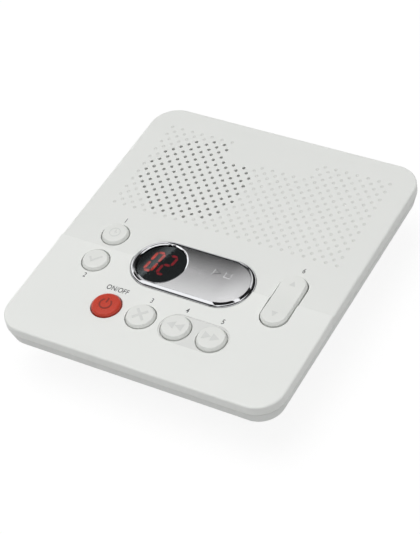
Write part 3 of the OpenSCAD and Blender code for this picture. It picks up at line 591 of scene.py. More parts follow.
# The left digit's glow is brighter and more orange: a painted reflection of the window's light
# half over it
lit_red = lit_segment("red segment glow with painted reflection", "#ff4a38", 1.8, 5.2)
# The right digit's glow is the plain one, without that painted reflection
lit_crimson = lit_segment("plain red segment glow", "#f0283c", 1.3, 2.8)

FINISH_OF_SLOT = {
    "abs_white": abs_cover,
    "abs_base": abs_base,
    "chrome": chrome,
    "satin_chrome": satin,
    "smoked_lens": window_acrylic,
    "black_plastic": black_abs,
    "lit_red": lit_red,
    "red_key": red_cap,
    "key_white": key_cap,
    "silicone": silicone,
    "circuit_board": board,
    "lamp": lamp,
    "grille_cloth": cloth,
    "foam": foam,
    "pressed_steel": steel,
    "ferrite": ferrite,
    "paper_cone": paper,
    "wire_red": wire,
    "transformer_tape": tape,
    "relay_case": relay_case,
    "capacitor_sleeve": sleeve,
    "connector_nylon": nylon,
    "ribbon": flat_cable,
    "gold_contact": gold,
    "nickel": nickel,
    "foot_rubber": rubber,
}

# Every carried CAD node takes the finish of its slot
for part in frame["record"]["subparts"]:
    held = frame["nodes"][part["node"]]
    held.data.materials.clear()
    held.data.materials.append(FINISH_OF_SLOT[part["material_slot"]])
    held.data.shade_smooth()
    held.data.set_sharp_from_angle(angle=math.radians(CAD_SHARP))


# ---- Covers ----

QUARTER = [math.radians(a) for a in range(0, 91, 15)]

# What each kind of edge has: its rounding, the wall under it, and its lowest level
FILLET = {"edge": EDGE_R, "seam": SEAM_R, "hole": HOLE_FILLET}
THICK = {"edge": WALL_T, "seam": 0.0, "hole": 0.0}
FOOT_Z = {"edge": Z_PART, "seam": Z_UNDER, "hole": Z_UNDER}


def cover_path(depth):
    """The edge of a cover that reaches depth mm from the crease, as points
    (x, t, ways): t is the distance from the crease, and each way is an inward
    direction with the kind of edge it belongs to."""
    straight = depth - CORNER_R
    near = 2.2
    sides = (near, 4, SEAM_FADE, straight * 0.6, straight)
    shy = 4  # degrees by which the bezel's arcs stop short of the crease
    path = [(HALF_W, 0, [(-1, 0, "edge"), (0, 1, "seam")])]
    path += [(HALF_W, t, [(-1, 0, "edge")]) for t in sides]
    for cx, start in ((HALF_W - CORNER_R, 0), (CORNER_R - HALF_W, 90)):
        for x, t in turn(cx, straight, CORNER_R, start, start + 90, 16):
            way = ((cx - x) / CORNER_R, (straight - t) / CORNER_R, "edge")
            path.append((x, t, [way]))
    path += [(-HALF_W, t, [(1, 0, "edge")]) for t in reversed(sides)]
    path.append((-HALF_W, 0, [(1, 0, "edge"), (0, 1, "seam")]))

    def seam(x):
        path.append((x, 0, [(0, 1, "seam")]))

    def corner(x, way):
        path.append((x, 0, [(way, 0, "hole"), (0, 1, "seam")]))

    def around(cx, ct, radius, start, end):
        for x, t in turn(cx, ct, radius, start, end):
            path.append((x, t, [((x - cx) / radius, (t - ct) / radius, "hole")]))

    seam(near - HALF_W)
    seam(-HALF_W / 2 - CORNER_R)
    edge = SPINE + BEZEL_HOLE
    corner(-edge, -1)
    around(-SPINE, 0, BEZEL_HOLE, 180 - shy, 90)
    around(SPINE, 0, BEZEL_HOLE, 90, shy)
    corner(edge, 1)
    slot = SIDE_R + KEY_GAP
    corner(SIDE_X - slot, -1)
    around(SIDE_X, SIDE_Y, slot, 180, 0)
    corner(SIDE_X + slot, 1)
    seam((SIDE_X + slot + HALF_W) / 2)
    seam(HALF_W - near)
    cleaned = path[:1]
    for p in path[1:]:
        if math.dist(p[:2], cleaned[-1][:2]) > WELD:
            cleaned.append(p)
    return cleaned


def lowered(surface, drop):
    """A level that lies drop mm under a surface."""
    return lambda x, y: surface(x, y) - drop


def key_hole(made, top, x, y, radius):
    """Rounded rim and wall of a key's hole; gives its outlines above and below."""
    outlines = [disc(x, y, radius + HOLE_FILLET + HOLE_STRIP)]
    drops = [0]
    for a in QUARTER[::2]:
        outlines.append(disc(x, y, radius + HOLE_FILLET * (1 - math.sin(a))))
        drops.append(HOLE_FILLET * (1 - math.cos(a)))
    rings = [made.loop(o, lowered(top, d)) for o, d in zip(outlines, drops)]
    foot = disc(x, y, radius)
    made.skin(*rings, made.loop(foot, Z_UNDER))
    return outlines[0], foot


def grille_hole(made, top, x, y):
    """Drilled hole with a small chamfer; gives its outlines above and below."""
    bore = disc(x, y, HOLE_R, HOLE_SIDES)
    mouth = disc(x, y, HOLE_R + HOLE_CHAMFER, HOLE_SIDES)
    made.skin(
        made.loop(mouth, top),
        made.loop(bore, lowered(top, HOLE_CHAMFER)),
        made.loop(bore, Z_UNDER),
    )
    return mouth, bore


def grille_dimple(made, top, x, y):
    """Blind dimple with a round floor; gives its outline above."""
    rim = disc(x, y, DIMPLE_R, DIMPLE_SIDES)
    rings = [made.loop(rim, top)]
    for share, deep in DIMPLE_FLOOR:
        outline = disc(x, y, DIMPLE_R * share, DIMPLE_SIDES)
        rings.append(made.loop(outline, lowered(top, DIMPLE_DEPTH * deep)))
    made.skin(*rings)
    made.cap(rings[-1])
    return rim


def cover(node, side, top, plastic, rims, drilled=(), dimples=(), creases=(), extra=()):
    """One moulded cover: crowned top, rounded edges, walls and underside.
    rims are (x, y, radius) of key holes; side is -1 in front of the crease."""
    path = cover_path(HALF_L - side * CREASE_Y)
    made = Shell()

    def placed(inset, level, inner=False):
        """One loop round the edge: inset and level are functions of the kind."""
        loop = []
        for x, t, ways in path:
            kind = ways[0][2]
            px = x + sum(w[0] * inset(w[2]) for w in ways)
            pt = t + sum(w[1] * inset(w[2]) for w in ways)
            gap = SEAM_GAP if any(w[2] == "seam" for w in ways) else 0
            y = CREASE_Y + side * (pt + gap)
            z = level(kind, px, y)
            if kind == "edge" and t < SEAM_FADE and not inner:
                bend = min(1, max(0, Z_TOP - z) / SEAM_DROP)
                y -= SEAM_RUN * bend * (1 - t / SEAM_FADE)
            loop.append((px, y, z))
        return loop

    def cut(kind):
        return FOOT_CHAMFER if kind == "edge" else 0

    loops = [placed(lambda k: FILLET[k] + EDGE_STRIP, lambda k, x, y: top(x, y))]
    for a in QUARTER:
        loops.append(
            placed(
                lambda k: FILLET[k] * (1 - math.sin(a)),
                lambda k, x, y: top(x, y) - FILLET[k] * (1 - math.cos(a)),
            )
        )
    loops.append(placed(lambda k: 0, lambda k, x, y: max(FOOT_Z[k], Z_TOP - SEAM_DROP)))
    loops.append(placed(lambda k: 0, lambda k, x, y: FOOT_Z[k] + cut(k)))
    loops.append(placed(cut, lambda k, x, y: FOOT_Z[k]))
    loops.append(placed(lambda k: THICK[k], lambda k, x, y: FOOT_Z[k], True))
    loops.append(placed(lambda k: THICK[k], lambda k, x, y: Z_UNDER, True))
    made.skin(*[made.ring(loop) for loop in loops])

    both = [key_hole(made, top, *rim) for rim in rims]
    both += [grille_hole(made, top, *at) for at in drilled]
    upper = [above for above, below in both]
    upper += [grille_dimple(made, top, *at) for at in dimples]
    lower = [below for above, below in both]
    made.fill([(p[0], p[1]) for p in loops[0]], top, upper, creases, extra)
    made.fill([(p[0], p[1]) for p in loops[-1]], Z_UNDER, lower)
    return piece(node + "_moulding", made, plastic, replaces=[node], sharp=40)


def flat_top(x, y):
    return Z_TOP


def to_recess(x, y):
    """Distance from the line that joins the repeat and skip keys."""
    return math.hypot(max(abs(x - ROW_PITCH) - ROW_PITCH / 2, 0), y - ROW_Y)


RECESS_R = ROW_R + KEY_GAP + RECESS_OUT


def front_top(x, y):
    """The front cover sweeps up to the crease and dips round the two keys."""
    rise = CREASE_STEP * math.exp((y - CREASE_Y) / CREASE_FADE)
    dip = min(max((RECESS_R - to_recess(x, y)) / RECESS_SLOPE, 0), 1)
    return Z_TOP + rise - RECESS_DEPTH * dip


def bare(i, j):
    """The part of the pattern left plain at the back edge."""
    return (j >= 7 and -8 <= i <= 7) or (j == 6 and -7 <= i <= -3)


pattern = [
    (i * STEP, GRILLE_Y + j * STEP)
    for i in range(-COLUMNS, COLUMNS + 1)
    for j in range(-ROWS, ROWS + 1)
    if (i + j) % 2 and not bare(i, j)
]
drilled_at = [p for p in pattern if math.dist(p, (SPEAKER_X, SPEAKER_Y)) <= SPEAKER_R]
dimple_at = [p for p in pattern if math.dist(p, (SPEAKER_X, SPEAKER_Y)) > SPEAKER_R]

row_x = [ROW_PITCH * (i - 1.5) for i in range(4)]
row_rims = [(x, ROW_Y, ROW_R + KEY_GAP) for x in row_x]
side_rim = SIDE_R + KEY_GAP
setup_rim = (-SIDE_X, CREASE_Y - SIDE_Y, side_rim)
clock_rim = (-SIDE_X, CREASE_Y + SIDE_Y, side_rim)


def on_open_top(x, y):
    """True where a point of the front cover's top is clear of its holes and lines."""
    ahead = CREASE_Y - y
    holes = (*row_rims, setup_rim)
    across, along = BEZEL_CLEAR
    slot = side_rim + SLOT_CLEAR
    return (
        all(math.hypot(x - cx, y - cy) > r + KEY_CLEAR for cx, cy, r in holes)
        and not (abs(x) < SPINE + BEZEL_R + across and ahead < BEZEL_R + along)
        and not (abs(x - SIDE_X) < slot and ahead < SIDE_Y + slot)
        and abs(to_recess(x, y) - RECESS_R) > RECESS_CLEAR
    )


swell = [
    (column * SWELL_PITCH, CREASE_Y - ahead)
    for ahead in SWELL_AHEAD
    for column in range(-15, 16)
    if on_open_top(column * SWELL_PITCH, CREASE_Y - ahead)
]
recess_lines = [
    stadium(ROW_PITCH, ROW_Y, ROW_PITCH / 2, RECESS_R - d) for d in (0, RECESS_SLOPE)
]
front_rims = [*row_rims, setup_rim]
front = cover(
    "front_cover", -1, front_top, abs_front_painted_lighter, front_rims, creases=recess_lines, extra=swell
)
rear = cover("grille_cover", 1, flat_top, abs_cover, [clock_rim], drilled_at, dimple_at)


def in_recess(x, y, z):
    return to_recess(x, y) < RECESS_R and z > Z_TOP - RECESS_DEPTH - 0.1


def in_dimple(x, y, z):
    return (
        Z_TOP - DIMPLE_DEPTH - 0.1 < z < Z_TOP - 0.01
        and min(math.dist((x, y), p) for p in dimple_at) < DIMPLE_R
    )


# The recess and the dimples are textured otherwise than the covers round them, and painted
# darker as the shade in their hollows
for moulding, plastic, inside in (
    (front, abs_recess_painted_shade, in_recess),
    (rear, abs_dimple_painted_shade, in_dimple),
):
    moulding.data.materials.append(plastic)
    for face in moulding.data.polygons:
        if inside(*(face.center / MM)):
            face.material_index = 1


# ---- Keys ----


def key_top(cx, cy, radius, side):
    """Height of a cap's gently domed top."""
    flat_r = radius - side[-1][0]

    def height(x, y):
        share = min(math.hypot(x - cx, y - cy) / flat_r, 1)
        return KEY_TOP - KEY_CROWN * share**2

    return height


def key_cap_shell(cx, cy, radius, side):
    """Domed cap with a shaped side, a skirt, a flange, and a hollow under it that
    has a post in its middle."""
    flat_r = radius - side[-1][0]
    top = KEY_TOP - KEY_CROWN
    profile = [(0, KEY_TOP)]
    profile += [(flat_r * s, KEY_TOP - KEY_CROWN * s**2) for s in (0.2, 0.4, 0.6, 0.8, 0.93)]
    profile += [(flat_r + out, top - down) for out, down in side]
    profile += [
        (radius, KEY_FOOT + FLANGE_T),
        (radius + FLANGE_OUT, KEY_FOOT + FLANGE_T),
        (radius + FLANGE_OUT, KEY_FOOT),
        (radius - CAP_WALL, KEY_FOOT),
        (radius - CAP_WALL, KEY_TOP - CAP_WALL),
        (CAP_POST_R, KEY_TOP - CAP_WALL),
        (CAP_POST_R, KEY_FOOT),
        (0, KEY_FOOT),
    ]
    return turned(cx, cy, profile, KEY_SIDES)


def mark(name, body, outlines, surface, material, holes=()):
    """A thin raised mark that follows the surface under it."""
    top, bottom = lowered(surface, -MARK_RISE), lowered(surface, MARK_SUNK)
    piece(name, prism(outlines, top, bottom, holes), material, body, sharp=50)


def moved(outline, cx, cy):
    return [(x + cx, y + cy) for x, y in outline]


def arrow(cx, cy, size, way):
    """Solid triangle that points along way (degrees)."""
    a = math.radians(way)
    tip = [(size * 0.62, 0), (-size * 0.5, size * 0.62), (-size * 0.5, -size * 0.62)]
    return [
        (cx + x * math.cos(a) - y * math.sin(a), cy + x * math.sin(a) + y * math.cos(a))
        for x, y in tip
    ]


def cross(half, reach):
    """Diagonal cross with arms that are reach long and twice half wide."""
    outline = []
    for way in (45, 135, 225, 315):
        ux, uy = math.cos(math.radians(way)), math.sin(math.radians(way))
        outline += [
            (ux * reach + uy * half, uy * reach - ux * half),
            (ux * reach - uy * half, uy * reach + ux * half),
            (ux * half - uy * half, uy * half + ux * half),
        ]
    return outline


tick = strip([(-2.5, 0.2), (-0.8, -1.8), (2.6, 1.9)], 0.9)
power_ring = strip(turn(0, -0.2, 2.5, 125, 415, 28), 0.65)
power_bar = strip([(0, 0.4), (0, 2.9)], 0.65)
clock_hands = strip([(0, 1.4), (0, 0), (1.1, 0)], 0.4)

KEYS = {
    "clock": (-SIDE_X, CREASE_Y + SIDE_Y, SIDE_R),
    "setup": (-SIDE_X, CREASE_Y - SIDE_Y, SIDE_R),
    "power": (row_x[0], ROW_Y, ROW_R),
    "delete": (row_x[1], ROW_Y, ROW_R),
    "repeat": (row_x[2], ROW_Y, ROW_R),
    "skip": (row_x[3], ROW_Y, ROW_R),
}
MARKS = {
    "clock": [clock_hands],
    "setup": [tick],
    "power": [power_ring, power_bar],
    "delete": [cross(0.6, 3.5)],
    "repeat": [arrow(-1.9, 0, 3.2, 180), arrow(1.9, 0, 3.2, 180)],
    "skip": [arrow(-1.9, 0, 3.2, 0), arrow(1.9, 0, 3.2, 0)],
}
for key, (cx, cy, radius) in KEYS.items():
    body = key + "_key"
    plastic, slot, marking, side = (
        (red_cap, "red_key", red_mark, RED_SIDE)
        if key == "power"
        else (key_cap, "key_white", key_mark_painted_shade, WHITE_SIDE)
    )
    piece(key + "_cap", key_cap_shell(cx, cy, radius, side), plastic, body, [body])
    mark(
        key + "_mark",
        body,
        [moved(o, cx, cy) for o in MARKS[key]],
        key_top(cx, cy, radius, side),
        marking,
    )
cx, cy, radius = KEYS["clock"]
mark(
    "clock_mark_ring",
    "clock_key",
    [disc(cx, cy, 2.5)],
    key_top(cx, cy, radius, WHITE_SIDE),
    key_mark_painted_shade,
    [disc(cx, cy, 2.1)],
)


# ---- Volume rocker ----


def rocker_height(x, y):
    """The rocker's top dips slightly over its pivot."""
    share = min(abs(y - CREASE_Y) / SIDE_Y, 1)
    return ROCKER_TOP - ROCKER_DIP * (1 - share**2)


def rocker_outline(inset):
    """Upright stadium with extra points on its straight sides."""
    r = SIDE_R - inset
    sides = [SIDE_Y * (1 - i / 6) for i in range(1, 12)]
    out = turn(SIDE_X, CREASE_Y + SIDE_Y, r, 0, 180)
    out += [(SIDE_X - r, CREASE_Y + t) for t in sides]
    out += turn(SIDE_X, CREASE_Y - SIDE_Y, r, 180, 360)
    out += [(SIDE_X + r, CREASE_Y - t) for t in sides]
    return out


rocker = Shell()
rocker_loops = []
for out, down in WHITE_SIDE:
    outline = rocker_outline(WHITE_SIDE[-1][0] - out)
    rocker_loops.append(rocker.loop(outline, lowered(rocker_height, down)))
rocker.skin(
    *rocker_loops,
    rocker.loop(rocker_outline(0), ROCKER_FOOT),
    rocker.loop(rocker_outline(CAP_WALL), ROCKER_FOOT),
    rocker.loop(rocker_outline(CAP_WALL), ROCKER_FOOT + ROCKER_HOLLOW),
)
middle_points = [
    (SIDE_X + dx, CREASE_Y + SIDE_Y * i / 6) for i in range(-6, 7) for dx in (-2.5, 0, 2.5)
]
rocker.fill(rocker_outline(WHITE_SIDE[-1][0]), rocker_height, extra=middle_points)
rocker.fill(rocker_outline(CAP_WALL), ROCKER_FOOT + ROCKER_HOLLOW)
# A pivot pin on each side, closed at both ends
pin_section = disc(CREASE_Y, PIVOT_Z, PIVOT_R, ARC)
for side in (-1, 1):
    ends = [SIDE_X + side * out for out in (SIDE_R - PIVOT_IN, SIDE_R + PIVOT_OUT)]
    rings = [rocker.ring([(x, y, z) for y, z in pin_section]) for x in ends]
    rocker.skin(*rings)
    for ring in rings:
        rocker.cap(ring)
piece(
    "volume_rocker_cap", rocker, key_cap, "volume_rocker", ["volume_rocker"]
)
mark(
    "volume_marks",
    "volume_rocker",
    [
        arrow(SIDE_X, CREASE_Y + SIDE_Y + 0.4, 2.3, 90),
        arrow(SIDE_X, CREASE_Y - SIDE_Y - 0.4, 2.3, 270),
    ],
    rocker_height,
    key_mark_painted_shade,
)


# ---- Bezel, window and play key ----


rim = Shell()
rim_section = [(RIM_IN, BEZEL_FOOT), (RIM_IN, BEZEL_TOP - 0.4)]
rim_section.append((RIM_IN + 0.03, BEZEL_TOP - 0.04))
first = math.radians(RIM_START)
crest = RIM_IN + RIM_LIP
reach = (BEZEL_R - crest) / (1 - math.sin(first))
fall = (BEZEL_TOP - RIM_BASE) / math.cos(first)
for degrees in range(RIM_START, 91, 4):
    a = math.radians(degrees)
    rim_section.append(
        (crest + reach * (math.sin(a) - math.sin(first)), RIM_BASE + fall * math.cos(a))
    )
rim_section.append((BEZEL_R, BEZEL_FOOT))
rim_loops = [rim.loop(stadium(0, CREASE_Y, SPINE, r, steps=48), z) for r, z in rim_section]
rim.skin(*rim_loops, rim_loops[0])
piece("bezel_rim", rim, chrome, replaces=["bezel"])

ring_section = [(WINDOW_R, RING_FOOT)]
ring_section += [(WINDOW_R + out, RING_TOP - down) for out, down in RING_SIDE]
ring_section.append((WINDOW_R + RING_W, RING_FOOT))
window_ring = turned(WINDOW_X, CREASE_Y, ring_section, 4 * ARC)
piece("window_ring", window_ring, chrome)

lens_section = [
    (0, LENS_TOP),
    (LENS_R - LENS_CHAMFER, LENS_TOP),
    (LENS_R, LENS_TOP - LENS_CHAMFER),
    (LENS_R, LENS_TOP - LENS_T),
    (0, LENS_TOP - LENS_T),
]
lens = turned(WINDOW_X, CREASE_Y, lens_section, 4 * ARC)
piece("window_lens", lens, window_acrylic, replaces=["display_lens"])

# Segments of a digit: middle and direction, numbered from the top clockwise
ARM, HALF_BAR = (DIGIT_H - STROKE) / 2, (DIGIT_W - STROKE) / 2
SEGMENTS = [
    (0, ARM, 0),
    (HALF_BAR, ARM / 2, 90),
    (HALF_BAR, -ARM / 2, 90),
    (0, -ARM, 0),
    (-HALF_BAR, -ARM / 2, 90),
    (-HALF_BAR, ARM / 2, 90),
    (0, 0, 0),
]


def segment(cx, sx, sy, way):
    """One hexagonal segment, leaned over with its digit."""
    reach = (ARM if way else 2 * HALF_BAR) / 2 - SEGMENT_GAP
    half = STROKE / 2
    outline = [(-reach, 0), (half - reach, -half), (reach - half, -half)]
    outline += [(reach, 0), (reach - half, half), (half - reach, half)]
    lean = math.tan(math.radians(DIGIT_LEAN))
    placed = []
    for x, y in outline:
        px, py = (-y, x) if way else (x, y)
        placed.append((cx + sx + px + lean * (sy + py), DIGITS_AT[1] + sy + py))
    return placed


# The left digit takes the glow with the painted reflection, the right one the plain glow
for name, side, lit in (("left", -1, (0, 1, 2, 3, 4, 5)), ("right", 1, (0, 1, 6, 4, 3))):
    cx = DIGITS_AT[0] + side * DIGIT_PITCH / 2
    piece(
        "digit_" + name,
        prism([segment(cx, *SEGMENTS[i]) for i in lit], DIGIT_Z + DIGIT_T, DIGIT_Z),
        lit_red if side < 0 else lit_crimson,
        replaces=["display_digits"] if side < 0 else (),
    )


def plate_outline(inset):
    """Play key: a stadium cut by the window's ring on its left."""
    r = RIM_IN - PLATE_GAP - inset
    ring = WINDOW_R + RING_W + PLATE_GAP + inset
    meet = math.degrees(math.asin(r / ring))
    left = WINDOW_X + ring * math.cos(math.radians(meet))
    flats = [left + (SPINE - left) * i / 12 for i in range(1, 12)]
    out = [(x, CREASE_Y - r) for x in flats]
    out += turn(SPINE, CREASE_Y, r, -90, 90, 32)
    out += [(x, CREASE_Y + r) for x in reversed(flats)]
    out += turn(WINDOW_X, CREASE_Y, ring, meet, -meet)
    return out


def plate_height(x, y):
    """The plate is crowned front to back, and falls away round its right end."""
    across = math.hypot(max(x - SPINE, 0), y - CREASE_Y) / (RIM_IN - PLATE_GAP)
    along = max(x - FALL_START, 0) / (SPINE + RIM_IN)
    return PLATE_TOP - PLATE_CROWN * min(across, 1) ** 2 - PLATE_FALL * along**2


plate = Shell()
plate_loops = []
for a in QUARTER:
    drop = PLATE_EDGE * (1 - math.cos(a))
    outline = plate_outline(PLATE_EDGE * (1 - math.sin(a)))
    plate_loops.append(plate.loop(outline, lowered(plate_height, drop)))
plate.skin(*plate_loops, plate.loop(plate_outline(0), PLATE_FOOT))
crown_points = [
    (x, CREASE_Y + y)
    for x in [1.5 * i - 7.5 for i in range(23)]
    for y in [1.1 * j - 8.8 for j in range(17)]
    if math.hypot(max(x - SPINE, 0), y) < RIM_IN - PLATE_GAP - PLATE_EDGE - 0.5
    and math.hypot(x - WINDOW_X, y) > WINDOW_R + RING_W + PLATE_EDGE + 0.8
]
plate.fill(plate_outline(PLATE_EDGE), plate_height, extra=crown_points)
plate.fill(plate_outline(0), PLATE_FOOT)
shown_plate = piece("play_plate", plate, satin, "play_key", ["play_key"])
# The crown's own slope gives its normals, so what it mirrors runs smooth
NUDGE = 0.01  # mm to each side over which that slope is taken
shown_plate.modifiers.clear()
mesh = shown_plate.data
normals = [n.vector.copy() for n in mesh.corner_normals]
for face in mesh.polygons:
    if face.normal.z > 0.97:
        for corner in face.loop_indices:
            x, y, _ = mesh.vertices[mesh.loops[corner].vertex_index].co / MM
            rise_x = plate_height(x + NUDGE, y) - plate_height(x - NUDGE, y)
            rise_y = plate_height(x, y + NUDGE) - plate_height(x, y - NUDGE)
            normals[corner] = Vector((-rise_x, -rise_y, 2 * NUDGE)).normalized()
mesh.normals_split_custom_set(normals)

# Play arrow and stop square, embossed: sunk foot, edge, and raised middle
embossed = Shell()
for cx, cy, outline in (
    (9.8, -13.8, arrow(0, 0, 3.0, 0)),
    (15.0, -13.8, strip([(-1.6, 0), (1.6, 0)], 3.2)),
):
    loops = []
    for share, drop in ((1, MARK_SUNK), (1, 0), (0.8, -0.07)):
        ring = [(cx + x * share, cy + y * share) for x, y in outline]
        loops.append(embossed.loop(ring, lowered(plate_height, drop)))
    embossed.skin(*loops)
    embossed.cap(loops[0])
    embossed.cap(loops[-1])
piece("play_marks", embossed, satin, "play_key", sharp=5)


# ---- Domes under the keys ----


def dome_bell(key):
    """A key's silicone dome: a hollow bell that flattens when the key goes down."""
    low, high = (Vector(corner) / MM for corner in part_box(key + "_dome"))
    cx, cy, wide = (low.x + high.x) / 2, (low.y + high.y) / 2, (high.x - low.x) / 2
    inner = high.z - 0.4
    profile = [(0, high.z), (wide - 1.0, high.z), (wide - 0.85, high.z - 0.12)]
    profile += [(wide - 0.6, low.z + 0.45), (wide - 0.3, low.z + 0.2), (wide, low.z + 0.15)]
    profile += [(wide, low.z), (wide - 0.8, low.z), (wide - 1.2, inner), (0, inner)]
    bell = turned(cx, cy, profile, DOME_SIDES)
    dome = piece(key + "_dome_bell", bell, silicone, replaces=[key + "_dome"])
    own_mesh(dome)


for key in (*KEYS, "play"):
    dome_bell(key)


# ---- Printed figures ----


def printed(name, text, x, y):
    """Screen-printed figures: a film of ink on the cover, centred at x, y."""
    data = bpy.data.curves.new(name, "FONT")
    data.body = text
    data.size = FIGURE_H / CAPITAL
    data.align_x, data.align_y = "CENTER", "CENTER"
    data.space_character = 1.05
    data.extrude = data.offset = INK_T
    written = bpy.data.objects.new(name + "_text", data)
    bpy.context.scene.collection.objects.link(written)
    flat = bpy.data.meshes.new_from_object(
        written.evaluated_get(bpy.context.evaluated_depsgraph_get())
    )
    bpy.data.objects.remove(written)
    top = front_top if y < CREASE_Y else flat_top
    for v in flat.vertices:
        px, py = v.co.x * NARROW + x, v.co.y + y
        v.co = Vector((px, py, top(px, py) + v.co.z + INK_CLEAR)) * MM
    flat.name = name
    dress(name, flat, ink, "housing")


printed("print_on_off", "ON/OFF", -24.8, -36.4)
printed("print_1", "1", -SIDE_X, -0.4)
printed("print_2", "2", -SIDE_X, -34.2)
printed("print_3", "3", row_x[1], -36.6)
printed("print_4", "4", row_x[2], -36.0)
printed("print_5", "5", row_x[3], -36.0)
printed("print_6", "6", SIDE_X, 0.6)


# ---- Floor, world and lamps ----


def seen_directly(tree):
    """1 for camera, glossy and transmission rays, 0 for light that falls on things."""
    ray = add(tree, "LightPath", {})
    both = add(
        tree,
        "Math",
        {0: ray.outputs["Is Camera Ray"], 1: ray.outputs["Is Glossy Ray"]},
        operation="MAXIMUM",
    )
    return add(
        tree,
        "Math",
        {0: both.outputs[0], 1: ray.outputs["Is Transmission Ray"]},
        operation="MAXIMUM",
    ).outputs[0]


def compass(azimuth, elevation, reach):
    """Place that lies reach metres from the middle of the crease."""
    a, e = math.radians(azimuth), math.radians(elevation)
    way = Vector((math.cos(a) * math.cos(e), math.sin(a) * math.cos(e), math.sin(e)))
    return way * reach + Vector((0, CREASE_Y, Z_TOP)) * MM


def card(name, corners, low, high, fade=(0.0, 1.0)):
    """A studio card that shows only in what mirrors it, or through what is clear. It
    glows from low at its first edge to high at the opposite one, across the fade."""
    mesh = bpy.data.meshes.new(name)
    mesh.from_pydata([Vector(c) for c in corners], [], [(0, 1, 2, 3)])
    mesh.uv_layers.new(name="height").data.foreach_set("uv", [0, 0, 1, 0, 1, 1, 0, 1])
    made = bpy.data.objects.new(name, mesh)
    material = bpy.data.materials.new(name)
    material.use_nodes = True
    tree = material.node_tree
    tree.nodes.clear()
    height = add(tree, "SeparateXYZ", {0: add(tree, "TexCoord", {}).outputs["UV"]})
    level = add(
        tree,
        "MapRange",
        {
            "Value": height.outputs["Y"],
            "From Min": fade[0],
            "From Max": fade[1],
            "To Min": low,
            "To Max": high,
        },
    )
    glow = add(tree, "Emission", {"Strength": level.outputs["Result"]})
    add(tree, "OutputMaterial", {"Surface": glow.outputs[0]})
    mesh.materials.append(material)
    bpy.context.scene.collection.objects.link(made)
    made.visible_camera = made.visible_diffuse = made.visible_shadow = False


def sky_card(name, reach, corners, low, high=None, fade=(0.0, 1.0)):
    """A card whose corners are azimuth and elevation, in degrees."""
    placed = [compass(azimuth, elevation, reach) for azimuth, elevation in corners]
    card(name, placed, low, low if high is None else high, fade)


# The floor is matt where it lights the object, and near white where it is seen
FLOOR_HALF = 6  # metres
floor_mesh = bpy.data.meshes.new("floor")
floor_mesh.from_pydata(
    [(x * FLOOR_HALF, y * FLOOR_HALF, 0) for x, y in ((-1, -1), (1, -1), (1, 1), (-1, 1))],
    [],
    [(0, 1, 2, 3)],
)
floor = bpy.data.objects.new("floor", floor_mesh)
floor_paint = bpy.data.materials.new("white studio floor")
floor_paint.use_nodes = True
tree = floor_paint.node_tree
tree.nodes.clear()
matt = add(tree, "BsdfDiffuse", {"Color": linear("#d9d9d9")})
faint = add(tree, "BsdfDiffuse", {"Color": linear("#6c6c6c")})
lift = add(tree, "Emission", {"Color": linear("#ffffff"), "Strength": 0.88})
white = add(tree, "AddShader", {0: faint.outputs[0], 1: lift.outputs[0]})
shown = add(
    tree, "MixShader", {0: seen_directly(tree), 1: matt.outputs[0], 2: white.outputs[0]}
)
add(tree, "OutputMaterial", {"Surface": shown.outputs[0]})
floor_mesh.materials.append(floor_paint)
bpy.context.scene.collection.objects.link(floor)

# The room gives a dim light all round, and is white where it is seen
world = bpy.data.worlds.new("studio")
world.use_nodes = True
bpy.context.scene.world = world
tree = world.node_tree
tree.nodes.clear()
room = add(tree, "Background", {"Color": linear("#ffffff"), "Strength": 0.42})
sky = add(tree, "Background", {"Color": linear("#ffffff"), "Strength": 1.0})
mixed = add(
    tree, "MixShader", {0: seen_directly(tree), 1: room.outputs[0], 2: sky.outputs[0]}
)
add(tree, "OutputWorld", {"Surface": mixed.outputs[0]})

# An overhead softbox, which no surface mirrors
softbox_at = Vector((-0.1, -0.15, 1.5))
softbox_lamp = bpy.data.lights.new("overhead_softbox", "AREA")
softbox_lamp.shape = "SQUARE"
softbox_lamp.size = 1.1
softbox_lamp.energy = 13
softbox = bpy.data.objects.new("overhead_softbox", softbox_lamp)
softbox.location = softbox_at
softbox.rotation_euler = softbox_at.to_track_quat("Z", "Y").to_euler()
softbox.visible_glossy = False
bpy.context.scene.collection.objects.link(softbox)

DARK = 0.02  # glow of a black card
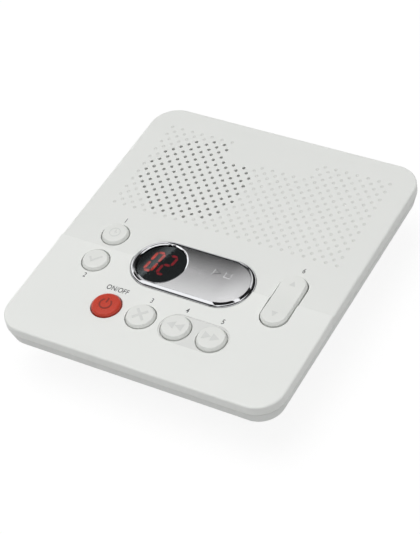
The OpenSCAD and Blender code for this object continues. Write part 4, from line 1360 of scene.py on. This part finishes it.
# The plate mirrors the backdrop, which runs from black at its foot to white
backdrop = [(154, 27), (105, 27), (105, 59), (154, 59)]
sky_card("backdrop_card", 1.5, backdrop, DARK, 1.3, (0.2, 1.0))
sky_card("backdrop_foot", 1.4, [(124, 15), (114, 15), (114, 29), (124, 29)], DARK)
# A ceiling brighter than the room, and bright cards on the left
sky_card("ceiling", 2.5, [(-135, 43), (-45, 43), (45, 43), (135, 43)], 1.4)
sky_card("side_card", 1.4, [(140, 1), (-150, 1), (-150, 28), (140, 28)], 0.45)
sky_card("ring_card", 1.1, [(144, 0), (150, -4), (-147, 50), (-155, 56)], 1.7)
# Two flags over the slab draw the black bars on the rim's front right
sky_card("flag_left", 1.3, [(140, 59), (123, 60), (8, 77), (-128, 68)], DARK)
sky_card("flag_right", 1.3, [(118, 59), (107, 52), (60, 50), (26, 70)], DARK)
# Dark cards round the room's sides draw the dark lines of the rim and the ring
sky_card("dark_card_right", 1.2, [(0, 15), (56, 13), (56, 55), (0, 55)], DARK)
sky_card("dark_card_back_right", 1.2, [(56, 13), (114, 9), (86, 50), (56, 55)], DARK)
sky_card("dark_card_front_right", 1.2, [(-88, 22), (-2, 22), (-2, 68), (-88, 68)], 0.07)
sky_card("dark_card_front", 1.2, [(-176, 16), (-112, 14), (-112, 58), (-176, 50)], 0.07)
sky_card("dark_card_front_edge", 1.1, [(-114, 2), (-88, 2), (-88, 50), (-114, 50)], 0.05)
sky_card("ring_flag", 1.1, [(-143, 52), (-112, 56), (-104, 66), (-134, 65)], DARK)
sky_card("dark_card_left", 1.2, [(150, 43), (176, 31), (-174, 47), (157, 55)], DARK)
# A short strip light in front of them, bright along one edge
STRIP_HALF, STRIP_WIDE = 0.05, 0.012  # metres
strip_at = Vector((-0.607, 0.692, 0.948))
edge_way, fade_way = Vector((0.51, 0.81, -0.3)), Vector((-0.73, 0.22, -0.64))
strip_corners = [
    strip_at + edge_way * STRIP_HALF * end + fade_way * STRIP_WIDE * far
    for end, far in ((1, 1), (-1, 1), (-1, 0), (1, 0))
]
card("strip_light", strip_corners, 0.6, 3.2)
